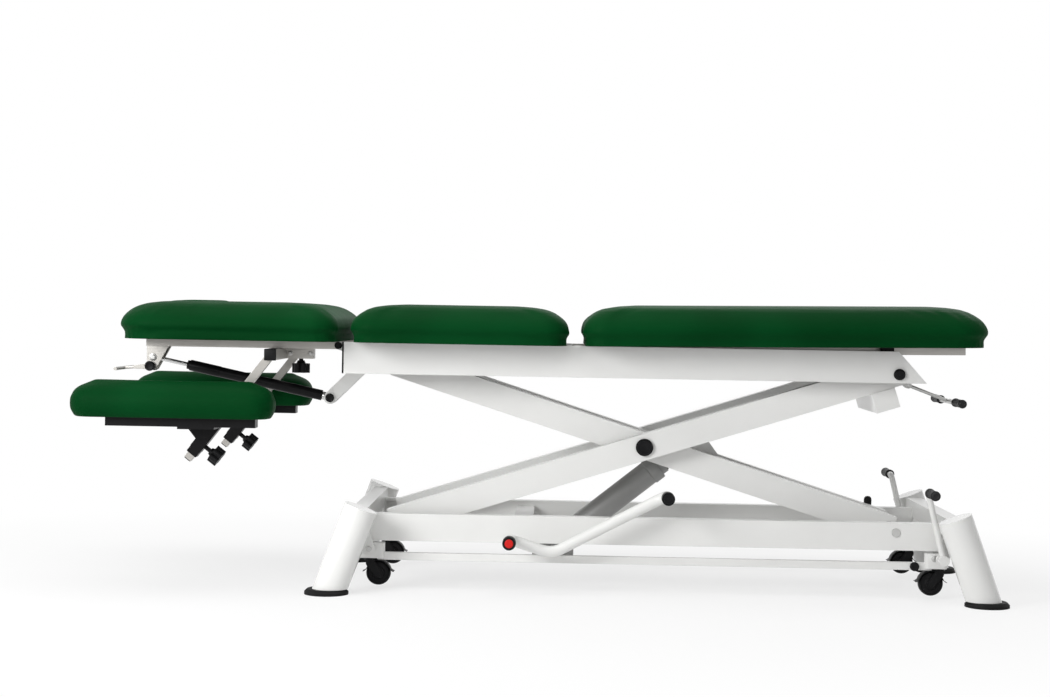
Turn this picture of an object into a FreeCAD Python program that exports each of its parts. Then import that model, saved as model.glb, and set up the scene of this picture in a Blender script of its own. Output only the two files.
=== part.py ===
"""Three-section treatment table on a hydraulic scissor lift, with arm rests and retractable castors.

Frame: millimetres, +Z up, floor at Z = 0, head end towards -X, leg end towards +X.
The origin is on the floor, under the middle of the whole object.
"""
import FreeCAD
import Part
import math
import os

Vec = FreeCAD.Vector
Y_AXIS = Vec(0, 1, 0)

# Fits
FIT = 0.05              # radial clearance of a pin in its hole
STEM_FIT = 0.15         # radial clearance of a castor's stem in its block
SEAT = 0.3              # clearance between pieces that must not touch
SIDE = 0.4              # side clearance of an eye between its cheeks
PAST = 1.0              # how far a cutter runs past the face that it cuts

# Scissor
PIVOT_X = 810.0         # both fixed pivots
LOW_PIVOT_Z = 150.0
HIGH_PIVOT_Z = 510.0
ARM_HALF = 600.0        # centre pivot to end pivots
ARM_DEPTH = 60.0
ARM_W = 40.0
ARM_WALL = 3.0
ARM_OVERHANG = 12.0
INNER_ARM_Y = 75.0
OUTER_ARM_Y = 122.0
BOSS_R = 16.0
SHAFT_R = 10.0
SHAFT_PROUD = 1.5       # base shaft's ends beyond the rails
SPACER_R = 16.0
CAP_R = 20.0            # black cap of a centre pivot
TOP_CAP_R = 13.0        # black cap of a top pivot
CAP_H = 9.0
ROLLER_R = 15.0
ROLLER_W = 16.0
AXLE_R = 8.0
ROLLER_Y = 168.0        # middle of a roller, in the rail's slot
SLOT_BACK = 48.773      # rollers' slot, behind the roller at rest
SLOT_AHEAD = 109.727
TIE_ALONG = 175.0       # ram tie tube on the inner arms, from the centre pivot
TIE_R = 20.0
TIE_WALL = 4.0
BLOCK_BACK = 65.0       # box tie under the outer arms, from their top pivot
BLOCK_L = 55.0
BLOCK_H = 46.0
BLOCK_WALL = 4.0
BLOCK_END_T = 3.0       # plates that close the box tie

# Base
RAIL_Y = 185.0          # middle plane of base and top rails
RAIL_W = 30.0
RAIL_WALL = 4.0
BASE_RAIL_DROP = 40.0   # base rails' underside, below the low pivots
BASE_RAIL_H = 62.0
HEAD_OVERHANG = 53.273  # base rails, beyond the rollers at the head end
LEG_OVERHANG = 102.0    # base rails, beyond the pivots at the leg end
BEAM_W = 36.0           # end crossbeam
BEAM_RISE = 40.0        # beam's underside, above the rails' underside
BEAM_H = 40.0
BEAM_WALL = 3.0
FOOT_Y = 300.0
POST_R = 38.0
POST_WALL = 3.0
POST_LEAN = 20.0        # degrees from upright
POST_TOP_OUT = 11.0     # top of the post's axis, beyond the rails' end
POST_TOP_RISE = 44.5    # above the beam's underside
FOOT_PAD_SHIFT = 3.708  # foot pad, out from where the post's axis meets the floor
FOOT_PAD_R = 49.5
FOOT_PAD_H = 12.0
FOOT_PAD_EDGE = 6.0
MEMBER_BACK = 113.0     # base cross-member that carries the ram, from the ram's foot
MEMBER_W = 43.0
MEMBER_RISE = 2.0       # its underside, above the rails' underside
MEMBER_H = 48.0
MEMBER_WALL = 3.0

# Ram and pump
RAM_HEAD_BACK = 43.076  # ram's head pivot from the tie tube, towards the head end
RAM_HEAD_RISE = 68.4
RAM_SPAN = 308.5        # ram's foot from its head, along the table
RAM_FOOT_DROP = 12.0    # ram's foot below the cross-member's underside
RAM_R = 29.0
RAM_ROD_R = 15.0
RAM_EYE_R = 18.0
RAM_EYE_W = 36.0
RAM_PIN_R = 8.0
RAM_TUBE_S0 = 40.0      # ram tube, from the foot pivot
RAM_ROD_SHOWN = 109.505 # from the tube's end to the head pivot
RAM_ROD_START = 0.6     # where the rod starts, over the tube's end
CHEEK_T = 8.0
PUMP_AHEAD = 25.0       # pump's front, from the ram's foot
PUMP_OUT = 165.0        # pump's sides, from the middle plane
PUMP_IN = 52.0
PUMP_DROP = 34.0        # pump's underside below the cross-member's
PUMP_H = 60.0
PUMP_ROUND = 12.0
TANK_R = 24.0
TANK_H = 20.0
PEDAL_BACK = 24.0       # pedal's shaft, from the ram's foot
PEDAL_RISE = 17.0       # above the pump's underside
PEDAL_SHAFT_R = 8.0
PEDAL_BORE = 53.0       # depth of its bore in the pump
PEDAL_OUT = 262.0       # pedal's bar, from the middle plane
PEDAL_R = 12.5
PEDAL_BEND = 60.0
PEDAL_HEAD_BACK = 95.0  # pedal's ends, from its shaft
PEDAL_HEAD_RISE = 30.0
PEDAL_LEG_AHEAD = 255.0
PEDAL_LEG_RISE = 135.0
PEG_L = 78.0
PEG_CAP_R = 14.5
PEG_CAP_L = 20.0

# Top frame
TOP_RAIL_DROP = 20.0    # top rails' underside, below the high pivots
TOP_RAIL_H = 72.0
TOP_HEAD_OVERHANG = 119.273     # top rails, beyond the rollers
TOP_LEG_OVERHANG = 63.0 # bottom corner of the leg end, beyond the pivots
TOP_RAIL_CUT = 65.0     # slant of the leg end
CAP_T = 4.0             # plastic cap of the rails' head end
CROSS_W = 30.0          # cross tubes of the top frame
CROSS_H = 30.0
CROSS_WALL = 3.0
CROSS_RISE = 10.0       # their underside, above the rails' underside
HEAD_CROSS_IN = 24.0    # from the rails' head end
MID_CROSS_BACK = 135.0  # from the leg hinge
LEG_CROSS_AHEAD = 70.0
LEVER_BAR_IN = 33.0     # lever bar, from the rails' leg end
LEVER_BAR_W = 16.0
STOP_IN = 38.0          # rubber stops let into the rails' top, from the slant
STOP_L = 28.0
STOP_W = 18.0
STOP_H = 10.0
STOP_GAP = 0.2

# Pads and boards
BOARD_T = 10.0
BOARD_INSET = 14.0
PAD_T = 78.0            # foam above the board
LEG_PAD_T = 83.0
PAD_HALF_W = 310.0
HEAD_PAD_L = 516.0
LEG_PAD_L = 931.0
HEAD_PAD_LAP = 18.0     # pads' ends, from the hinges
MID_PAD_HEAD_GAP = 26.0
MID_PAD_LEG_GAP = 6.0
LEG_PAD_GAP = 6.0
INNER_CORNER = 62.0     # plan radius of a pad's corners at the gaps
OUTER_CORNER = 95.0     # plan radius at the free ends
HOLE_IN = 140.0         # middle of the face hole, from the head pad's free end
HOLE_L = 172.0
HOLE_W = 100.0
HOLE_CORNER = 46.0
PLUG_T = 56.0           # plug depth below the pad's top
PLUG_RISE = 3.5
PLUG_GAP = 0.6
ROUND_LIMIT = 0.95      # largest corner radius of a pad over its half width
CORNER_SHRINK = 0.42    # how fast a pad's corners sharpen as its outline draws in
# Share of the pad's height, how far its outline is drawn in there, and how far at a hinge
PAD_LEVELS = ((0, 16.0, 16.0), (0.05, 12.5, 12.5), (0.13, 5.5, 6.0), (0.21, 1.0, 2.0), (0.30, 0.0, 2.9),
              (0.40, 2.0, 4.6), (0.50, 6.0, 6.8), (0.60, 11.5, 11.5), (0.69, 19.5, 19.5), (0.77, 30.0, 30.0),
              (0.85, 43.0, 43.0), (0.92, 62.0, 62.0), (0.97, 90.0, 90.0), (1.0, 130.0, 130.0))

# Head section
HEAD_HINGE_OUT = 16.0   # head hinge, beyond the top rails
HINGE_DROP = 9.0        # hinges below the boards
FRAME_H = 18.0          # head and leg frames
FRAME_W = 25.0
FRAME_WALL = 2.0
FRAME_Y = 147.5         # middle of the side tubes
HEAD_FRAME_L = 445.0
HINGE_EYE_R = 9.0
HINGE_PIN_R = 5.0
HINGE_EAR_T = 8.0
HEAD_EYE_OUT = 35.0     # gas spring's foot on the top frame, from the hinge
HEAD_EYE_DROP = 127.0
HEAD_ROD_OUT = 13.0     # gas spring's rod eye, beyond the head frame
HEAD_ROD_DROP = 29.0    # below the frame's underside
GAS_R = 12.5
GAS_ROD_R = 5.0
GAS_EYE_R = 12.0
GAS_EYE_W = 26.0
GAS_PIN_R = 5.0
GAS_ROD_START = 0.5     # where a gas spring's rod starts, over the tube's end
EYE_NECK = 0.7          # neck of an eye over the eye's radius
NOSE_SHARE = 0.85       # gland of a tube over the tube's radius
LUG_T = 6.0
LUG_HALF = 15.0         # half width of a flat lug
GAS_TUBE_S0 = 22.0      # gas tube, from its foot eye
HEAD_ROD_SHOWN = 87.262 # from the tube's end to the rod eye
HEAD_LEVER_OUT = 6.0    # release lever's pivot, beyond the rod eye
HEAD_LEVER_DROP = 21.0
HEAD_BAR_OUT = 67.0     # its cross bar, beyond the pivot
HEAD_BAR_DROP = 6.0
HEAD_BAR_HALF = 95.0
PRONG_L = 36.0          # prongs of the forked lever
PRONG_T = 6.0
LEVER_R = 4.0
STALK_R = 3.6

# Leg section
LEG_HINGE_X = 75.0
LEG_REST = 0.75         # degrees that the leg section rises to its free end at rest
LEG_FRAME_IN = 45.0     # free end of the frame, inside the pad's end
LEG_EYE_AHEAD = 130.0   # gas spring's foot, from the hinge
LEG_EYE_DROP = 45.0
LEG_ROD_AHEAD = 430.0   # gas spring's rod eye, from the hinge
LEG_ROD_DROP = 28.0     # below the frame's underside
LEG_ROD_SHOWN = 85.757
LEG_LEVER_IN = 9.0      # release lever's pivot, from the rails' leg end
LEG_LEVER_DROP = 10.0   # below the rails' underside
LEG_BAR_OUT = 97.0      # its cross bar, from the pivot
LEG_BAR_DROP = 36.0
LEG_BAR_HALF = 165.0
LEG_BAR_R = 6.0
GRIP_R = 12.0
GRIP_L = 78.0

# Arm rests
ARM_TUBE_OUT = 143.0    # cross tube, from the head hinge
ARM_TUBE = 25.0
ARM_TUBE_HALF = 262.0
ARM_TUBE_WALL = 2.5
POST_Y = 240.0          # slanted square posts
POST_W = 18.0
POST_RUN = 186.0        # lower end of a post, from the cross tube
POST_DROP = 252.0       # below the frame's underside
SLEEVE_WALL = 5.0
SLEEVE_S0 = 178.0       # sleeve, from the post's top
SLEEVE_S1 = 274.0
ARM_BAR_OUT = 351.0     # bar under the pad, from the cross tube
ARM_BAR_L = 333.0
ARM_BAR_H = 20.0
ARM_BAR_W = 40.0
ARM_PAD_LAP = 83.0      # pad's tip, beyond the bar
ARM_PAD_L = 460.0
ARM_PAD_W = 130.0
ARM_PAD_Y = 330.0
ARM_PAD_DROP = 154.0    # pad's underside, below the frame's underside
ARM_PAD_T = 85.0
ARM_PAD_CORNER = 52.0
ARM_LEVELS = ((0, 14.0), (0.08, 5.0), (0.18, 1.5), (0.32, 0.0), (0.50, 1.0), (0.62, 5.0), (0.73, 10.0),
              (0.83, 21.0), (0.92, 40.0), (1.0, 54.0))
ARM_KNOB_S = 258.0
KNOB_R = 21.0
KNOB_H = 22.0
KNOB_LOBE_R = 7.0
KNOB_LOBES = 6
KNOB_STEM_R = 5.0
KNOB_STEM_L = 26.0
COLLAR_R0 = 8.0         # cone between stem and knob
COLLAR_R1 = 11.0
COLLAR_H = 7.0
CLAMP_OUT = 62.0        # clamp block, from the middle plane
CLAMP_L = 62.0
CLAMP_W = 36.0
CLAMP_BORE = 15.0

# Castors
CASTOR_IN = 2.0         # both shafts, inside the rails' ends
CASTOR_SHAFT_DROP = 16.0    # below the rails' underside
CASTOR_SHAFT_R = 6.0
CRANK = 14.0
CRANK_PIN_R = 5.0
CRANK_T = 5.0
BLOCK_Y = 192.0
BLOCK_W = 30.0
BLOCK_IN = 32.0         # carriage block, from its shaft
BLOCK_OUT = 16.0
BLOCK_DROP = 24.0
BLOCK_RISE = 11.0
BAR_W = 16.0
BAR_H = 17.0
BAR_SINK = 4.0          # bar's underside, below the block's
HANGER_T = 8.0
HANGER_IN_Y = 150.0
HANGER_OUT_Y = 230.0
HANGER_TANGENT = (0.6, 0.8)     # where a hanger's web leaves its eye
STEM_IN = 1.0           # castor's stem, from the shaft
STEM_R = 5.0
STEM_L = 14.0           # inside the block
CASTOR_TRAIL = 18.0     # wheel's axle, from the stem
AXLE_DROP = 34.0        # below the block
WHEEL_R = 28.0
WHEEL_W = 22.0
WHEEL_AXLE_R = 4.0
# Rim of a wheel: share of the radius, and share of the half width
WHEEL_RIM = ((0.45, 1.0), (0.55, 0.75), (0.8, 0.75), (0.86, 1.0), (0.95, 0.8), (1.0, 0.45))
FORK_T = 3.0
FORK_SHOULDER_R = 10.5
FORK_BRIDGE_L = 16.0
CROWN_T = 4.5
LEVER_TIP_IN = 38.0     # top of a hand lever, from its shaft
LEVER_TIP_RISE = 153.0
LEVER_Y = 246.0
LEVER_ROD_R = 7.0
LEVER_HUB_R = 12.0
LEVER_GRIP_L = 86.0
LEVER_GRIP_R = 13.0

# Worked out from the sizes above
RAIL_IN = RAIL_Y - RAIL_W / 2
RAIL_OUT = RAIL_Y + RAIL_W / 2
SWING = math.asin((HIGH_PIVOT_Z - LOW_PIVOT_Z) / (2 * ARM_HALF))
CENTRE = Vec(PIVOT_X - ARM_HALF * math.cos(SWING), 0, (LOW_PIVOT_Z + HIGH_PIVOT_Z) / 2)
ROLLER_X = PIVOT_X - 2 * ARM_HALF * math.cos(SWING)
SLOT_X0 = ROLLER_X - SLOT_BACK
SLOT_X1 = ROLLER_X + SLOT_AHEAD
BLOCK_ALONG = ARM_HALF - BLOCK_BACK
BASE_X0 = ROLLER_X - HEAD_OVERHANG
BASE_X1 = PIVOT_X + LEG_OVERHANG
BASE_X = (BASE_X0 + BASE_X1) / 2
BASE_HALF = (BASE_X1 - BASE_X0) / 2
BASE_RAIL_Z = LOW_PIVOT_Z - BASE_RAIL_DROP
BEAM_Z = BASE_RAIL_Z + BEAM_RISE
POST_TOP_X = BASE_HALF + POST_TOP_OUT
POST_TOP_Z = BEAM_Z + POST_TOP_RISE
FOOT_PAD_X = POST_TOP_X + POST_TOP_Z * math.tan(math.radians(POST_LEAN)) + FOOT_PAD_SHIFT
TIE_X = CENTRE.x + TIE_ALONG * math.cos(SWING)
TIE_Z = CENTRE.z - TIE_ALONG * math.sin(SWING)
MEMBER_Z = BASE_RAIL_Z + MEMBER_RISE
RAM_HEAD_X = TIE_X - RAM_HEAD_BACK
RAM_HEAD_Z = TIE_Z + RAM_HEAD_RISE
RAM_FOOT_X = RAM_HEAD_X - RAM_SPAN
RAM_FOOT_Z = MEMBER_Z - RAM_FOOT_DROP
MEMBER_X0 = RAM_FOOT_X - MEMBER_BACK
PUMP_X1 = RAM_FOOT_X + PUMP_AHEAD
PUMP_Z = MEMBER_Z - PUMP_DROP
PEDAL_X = RAM_FOOT_X - PEDAL_BACK
PEDAL_Z = PUMP_Z + PEDAL_RISE
TOP_RAIL_Z = HIGH_PIVOT_Z - TOP_RAIL_DROP
TOP_RAIL_X0 = ROLLER_X - TOP_HEAD_OVERHANG
TOP_RAIL_X1 = PIVOT_X + TOP_LEG_OVERHANG
CROSS_X = (TOP_RAIL_X0 + HEAD_CROSS_IN, LEG_HINGE_X - MID_CROSS_BACK, LEG_HINGE_X + LEG_CROSS_AHEAD)
CROSS_Z = TOP_RAIL_Z + CROSS_RISE
LEVER_BAR_X = TOP_RAIL_X1 - LEVER_BAR_IN
STOP_X = TOP_RAIL_X1 - TOP_RAIL_CUT - STOP_IN
PAD_Z = TOP_RAIL_Z + TOP_RAIL_H
PAD_TOP_Z = PAD_Z + BOARD_T + PAD_T
FRAME_Z = PAD_Z - FRAME_H
HEAD_HINGE_X = TOP_RAIL_X0 - HEAD_HINGE_OUT
HEAD_HINGE_Z = PAD_Z - HINGE_DROP
LEG_HINGE_Z = PAD_Z - HINGE_DROP
HEAD_PAD_X1 = HEAD_HINGE_X + HEAD_PAD_LAP
HEAD_PAD_X0 = HEAD_PAD_X1 - HEAD_PAD_L
MID_PAD_X0 = HEAD_HINGE_X + MID_PAD_HEAD_GAP
MID_PAD_X1 = LEG_HINGE_X - MID_PAD_LEG_GAP
LEG_PAD_X0 = LEG_HINGE_X + LEG_PAD_GAP
LEG_PAD_X1 = LEG_PAD_X0 + LEG_PAD_L
HOLE_X = HEAD_PAD_X0 + HOLE_IN
HEAD_FRAME_X0 = HEAD_HINGE_X - HEAD_FRAME_L
HEAD_EYE_X = HEAD_HINGE_X - HEAD_EYE_OUT
HEAD_EYE_Z = HEAD_HINGE_Z - HEAD_EYE_DROP
HEAD_ROD_X = HEAD_FRAME_X0 - HEAD_ROD_OUT
HEAD_ROD_Z = FRAME_Z - HEAD_ROD_DROP
HEAD_LEVER_X = HEAD_ROD_X - HEAD_LEVER_OUT
HEAD_LEVER_Z = HEAD_ROD_Z - HEAD_LEVER_DROP
HEAD_BAR_X = HEAD_LEVER_X - HEAD_BAR_OUT
HEAD_BAR_Z = HEAD_LEVER_Z - HEAD_BAR_DROP
LEG_FRAME_X1 = LEG_PAD_X1 - LEG_FRAME_IN
LEG_EYE_X = LEG_HINGE_X + LEG_EYE_AHEAD
LEG_EYE_Z = LEG_HINGE_Z - LEG_EYE_DROP
LEG_ROD_X = LEG_HINGE_X + LEG_ROD_AHEAD
LEG_ROD_Z = FRAME_Z - LEG_ROD_DROP
LEG_LEVER_X = TOP_RAIL_X1 - LEG_LEVER_IN
LEG_LEVER_Z = TOP_RAIL_Z - LEG_LEVER_DROP
LEG_BAR_X = LEG_LEVER_X + LEG_BAR_OUT
LEG_BAR_Z = LEG_LEVER_Z - LEG_BAR_DROP
ARM_TUBE_X = HEAD_HINGE_X - ARM_TUBE_OUT
POST_END_X = ARM_TUBE_X - POST_RUN
POST_END_Z = FRAME_Z - POST_DROP
ARM_BAR_X0 = ARM_TUBE_X - ARM_BAR_OUT
ARM_BAR_X1 = ARM_BAR_X0 + ARM_BAR_L
ARM_PAD_TIP_X = ARM_BAR_X0 - ARM_PAD_LAP
ARM_PAD_Z = FRAME_Z - ARM_PAD_DROP
ARM_PAD_TOP_Z = ARM_PAD_Z + ARM_PAD_T
CASTOR_SHAFT_X = BASE_HALF - CASTOR_IN      # from the middle of the base
CASTOR_SHAFT_Z = BASE_RAIL_Z - CASTOR_SHAFT_DROP
BLOCK_X0 = CASTOR_SHAFT_X - BLOCK_IN
BLOCK_X1 = CASTOR_SHAFT_X + BLOCK_OUT
BLOCK_Z0 = CASTOR_SHAFT_Z - BLOCK_DROP
BLOCK_Z1 = CASTOR_SHAFT_Z + BLOCK_RISE
BAR_Z0 = BLOCK_Z0 - BAR_SINK
STEM_X = CASTOR_SHAFT_X - STEM_IN
STEM_TOP_Z = BLOCK_Z0 + STEM_L
WHEEL_X = STEM_X - CASTOR_TRAIL
WHEEL_Z = BLOCK_Z0 - AXLE_DROP
LEVER_TIP_X = CASTOR_SHAFT_X - LEVER_TIP_IN
LEVER_TIP_Z = CASTOR_SHAFT_Z + LEVER_TIP_RISE


def point(x, z):
    """Point in the middle plane of the table."""
    return Vec(x, 0, z)


def toward(p, q, s):
    """Point at distance s from p on the way to q."""
    step = q.sub(p)
    return p.add(step.multiply(s / step.Length))


def box(x0, x1, y0, y1, z0, z1):
    return Part.makeBox(x1 - x0, y1 - y0, z1 - z0, Vec(x0, y0, z0))


def rod(p, q, r):
    """Round bar from p to q."""
    axis = q.sub(p)
    return Part.makeCylinder(r, axis.Length, p, axis)


def rod_y(x, z, r, y0, y1):
    """Round bar across the table."""
    return Part.makeCylinder(r, y1 - y0, Vec(x, y0, z), Y_AXIS)


def ring_y(x, z, r, bore, y0, y1):
    return rod_y(x, z, r, y0, y1).cut(rod_y(x, z, bore, y0 - PAST, y1 + PAST))


def tube_x(x0, x1, y0, y1, z0, z1, wall):
    """Box tube along X, open at both ends."""
    hollow = box(x0 - PAST, x1 + PAST, y0 + wall, y1 - wall, z0 + wall, z1 - wall)
    return box(x0, x1, y0, y1, z0, z1).cut(hollow)


def tube_y(x0, x1, y0, y1, z0, z1, wall):
    """Box tube across the table, open at both ends."""
    hollow = box(x0 + wall, x1 - wall, y0 - PAST, y1 + PAST, z0 + wall, z1 - wall)
    return box(x0, x1, y0, y1, z0, z1).cut(hollow)


def plate(points, y0, y1):
    """Flat plate with an (x, z) outline, from y0 to y1."""
    corners = [Vec(x, y0, z) for x, z in points]
    outline = Part.makePolygon(corners + corners[:1])
    return Part.Face(outline).extrude(Vec(0, y1 - y0, 0))


def link(p, q, rp, rq, y0, y1):
    """Plate with round ends about p and q, joined by tangents."""
    run = math.atan2(q.z - p.z, q.x - p.x)
    lean = math.acos((rp - rq) / math.hypot(q.x - p.x, q.z - p.z))

    def rim(c, r, angle):
        return Vec(c.x + r * math.cos(angle), y0, c.z + r * math.sin(angle))

    p_up, p_back, p_down = (rim(p, rp, run + a) for a in (lean, math.pi, -lean))
    q_up, q_front, q_down = (rim(q, rq, run + a) for a in (lean, 0, -lean))
    edges = [
        Part.LineSegment(p_up, q_up).toShape(),
        Part.Arc(q_up, q_front, q_down).toShape(),
        Part.LineSegment(q_down, p_down).toShape(),
        Part.Arc(p_down, p_back, p_up).toShape(),
    ]
    return Part.Face(Part.Wire(edges)).extrude(Vec(0, y1 - y0, 0))


def bent_bar(points, radii, r):
    """Round bar along straight runs joined by tangent bends of the given radii."""
    pieces = []
    start = points[0]
    for before, corner, after, radius in zip(points, points[1:], points[2:], radii):
        back = before.sub(corner).normalize()
        ahead = after.sub(corner).normalize()
        half = back.getAngle(ahead) / 2
        cut = radius / math.tan(half)
        bend_in = corner.add(Vec(back).multiply(cut))
        bend_out = corner.add(Vec(ahead).multiply(cut))
        centre = corner.add(Vec(back).add(ahead).normalize().multiply(radius / math.sin(half)))
        section = Part.Face(Part.Wire([Part.Circle(bend_in, back, r).toShape()]))
        pieces.append(rod(start, bend_in, r))
        pieces.append(section.revolve(centre, ahead.cross(back), 180 - 2 * math.degrees(half)))
        start = bend_out
    pieces.append(rod(start, points[-1], r))
    return fused(*pieces)


def fused(*shapes):
    return shapes[0].multiFuse(list(shapes[1:])).removeSplitter()


def mirrored(shape):
    """The same piece on the far side."""
    return shape.mirror(Vec(0, 0, 0), Y_AXIS)


def pair(shape):
    return [shape, mirrored(shape)]


def node(name, solids):
    """Write one named piece, or a group of alike pieces."""
    Part.makeCompound(solids).exportStep("parts/%s.step" % name)


def end_pair(shape):
    """A piece at the leg end and its mirror image at the base's head end."""
    return [shape, shape.mirror(Vec(BASE_X, 0, 0), Vec(1, 0, 0))]


def slot_cutter(z, y_side):
    """Cuts the rollers' slot through a rail's inner wall."""
    half = ROLLER_R + SEAT
    inner, outer = sorted((y_side * (RAIL_IN - PAST), y_side * (RAIL_IN + RAIL_WALL + PAST)))
    return box(SLOT_X0, SLOT_X1, inner, outer, z - half, z + half)


def castor_shaft_point(end):
    return point(BASE_X + end * CASTOR_SHAFT_X, CASTOR_SHAFT_Z)


def base_rails():
    top = BASE_RAIL_Z + BASE_RAIL_H
    rail = tube_x(BASE_X - BASE_HALF, BASE_X + BASE_HALF, RAIL_IN, RAIL_OUT, BASE_RAIL_Z, top, RAIL_WALL)
    rail = rail.cut(slot_cutter(LOW_PIVOT_Z, 1))
    rail = rail.cut(rod_y(PIVOT_X, LOW_PIVOT_Z, SHAFT_R + FIT, RAIL_IN - PAST, RAIL_OUT + PAST))
    node("base_rails", pair(rail))


def foot_axis():
    """Top and bottom of the leg end's post axis, on the side of +Y."""
    top = Vec(BASE_X + POST_TOP_X, FOOT_Y, POST_TOP_Z)
    drop = POST_TOP_Z + POST_R
    bottom = Vec(top.x + drop * math.tan(math.radians(POST_LEAN)), FOOT_Y, -POST_R)
    return top, bottom


def foot_posts():
    top, bottom = foot_axis()
    reach = bottom.sub(top).Length
    below = box(top.x - reach, top.x + reach, FOOT_Y - reach, FOOT_Y + reach, -reach, FOOT_PAD_H)
    hollow = rod(toward(top, bottom, POST_WALL), bottom, POST_R - POST_WALL)
    post = rod(top, bottom, POST_R).cut(hollow)
    post = post.cut(below)
    node("foot_posts", [side for end in end_pair(post) for side in pair(end)])
    pad_x = BASE_X + FOOT_PAD_X
    cone = Part.makeCone(FOOT_PAD_R, FOOT_PAD_R - FOOT_PAD_EDGE, FOOT_PAD_H - FOOT_PAD_EDGE,
                         Vec(pad_x, FOOT_Y, FOOT_PAD_EDGE))
    disc = Part.makeCylinder(FOOT_PAD_R, FOOT_PAD_EDGE, Vec(pad_x, FOOT_Y, 0))
    node("foot_pads", [side for end in end_pair(fused(disc, cone)) for side in pair(end)])


def base_crossbeams():
    """End beams between the foot posts, each with four hangers for a castor shaft welded under it."""
    x0 = BASE_X + BASE_HALF
    shaft = castor_shaft_point(1)
    top, bottom = foot_axis()
    beam = tube_y(x0, x0 + BEAM_W, -FOOT_Y, FOOT_Y, BEAM_Z, BEAM_Z + BEAM_H, BEAM_WALL)
    for side in pair(rod(toward(bottom, top, -POST_R), toward(top, bottom, -POST_R), POST_R + SEAT)):
        beam = beam.cut(side)
    beam = max(beam.Solids, key=lambda solid: solid.Volume)
    hanger_r = CASTOR_SHAFT_R + HANGER_T
    hangers = []
    for y in (HANGER_IN_Y, HANGER_OUT_Y):
        y0 = y - HANGER_T / 2
        y1 = y + HANGER_T / 2
        leave = (shaft.x - hanger_r * HANGER_TANGENT[0], shaft.z + hanger_r * HANGER_TANGENT[1])
        web = plate([(shaft.x, shaft.z), (shaft.x + hanger_r, shaft.z), (x0 + BEAM_W, BEAM_Z), (x0, BEAM_Z),
                     leave], y0, y1)
        eye = rod_y(shaft.x, shaft.z, hanger_r, y0, y1)
        bore = rod_y(shaft.x, shaft.z, CASTOR_SHAFT_R + FIT, y0 - PAST, y1 + PAST)
        hangers += pair(fused(web, eye).cut(bore))
    node("base_crossbeams", [piece for shape in (beam, *hangers) for piece in end_pair(shape)])


def base_cross_member():
    """Tube between the rails, with the two cheeks that hold the ram's foot."""
    x1 = MEMBER_X0 + MEMBER_W
    top = MEMBER_Z + MEMBER_H
    foot = point(RAM_FOOT_X, RAM_FOOT_Z)
    member = tube_y(MEMBER_X0, x1, -RAIL_IN, RAIL_IN, MEMBER_Z, top, MEMBER_WALL)
    y0 = RAM_EYE_W / 2 + SIDE
    y1 = y0 + CHEEK_T
    web = plate([(x1, MEMBER_Z), (foot.x, foot.z - RAM_EYE_R), (foot.x, foot.z + RAM_EYE_R), (x1, top)],
                y0, y1)
    cheek = fused(web, rod_y(foot.x, foot.z, RAM_EYE_R, y0, y1))
    cheek = cheek.cut(rod_y(foot.x, foot.z, RAM_PIN_R + FIT, y0 - PAST, y1 + PAST))
    node("base_cross_member", [fused(member, *pair(cheek))])


def base_pins():
    """Scissor shaft with its spacers, and the ram's foot pin."""
    end = RAIL_OUT + SHAFT_PROUD
    shaft = rod_y(PIVOT_X, LOW_PIVOT_Z, SHAFT_R, -end, end)
    arm_side = INNER_ARM_Y + ARM_W / 2 + SIDE
    spacer = ring_y(PIVOT_X, LOW_PIVOT_Z, SPACER_R, SHAFT_R + FIT, arm_side, RAIL_IN)
    reach = RAM_EYE_W / 2 + SIDE + CHEEK_T
    pin = rod_y(RAM_FOOT_X, RAM_FOOT_Z, RAM_PIN_R, -reach, reach)
    pin_head = rod_y(RAM_FOOT_X, RAM_FOOT_Z, RAM_PIN_R + RAIL_WALL, reach, reach + RAIL_WALL)
    node("base_pins", [shaft, *pair(spacer), fused(pin, *pair(pin_head))])


def upright_edges(shape):
    return [e for e in shape.Edges if abs(e.tangentAt(e.FirstParameter).z) > 0.9]


def pump_unit():
    """Foot pump on the cross-member, with the bore of the pedal's shaft."""
    x0 = MEMBER_X0 + MEMBER_W
    body = box(x0, PUMP_X1, -PUMP_OUT, -PUMP_IN, PUMP_Z, PUMP_Z + PUMP_H)
    front = [e for e in upright_edges(body) if e.CenterOfMass.x > x0 + PAST]
    body = body.makeFillet(PUMP_ROUND, front)
    tank_x = (x0 + PUMP_X1) / 2
    tank_y = -(PUMP_OUT + PUMP_IN) / 2
    tank = Part.makeCylinder(TANK_R, TANK_H, Vec(tank_x, tank_y, PUMP_Z + PUMP_H))
    bore = rod_y(PEDAL_X, PEDAL_Z, PEDAL_SHAFT_R + FIT, -PUMP_OUT - PAST, PEDAL_BORE - PUMP_OUT)
    node("pump_unit", [fused(body, tank).cut(bore)])


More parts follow.
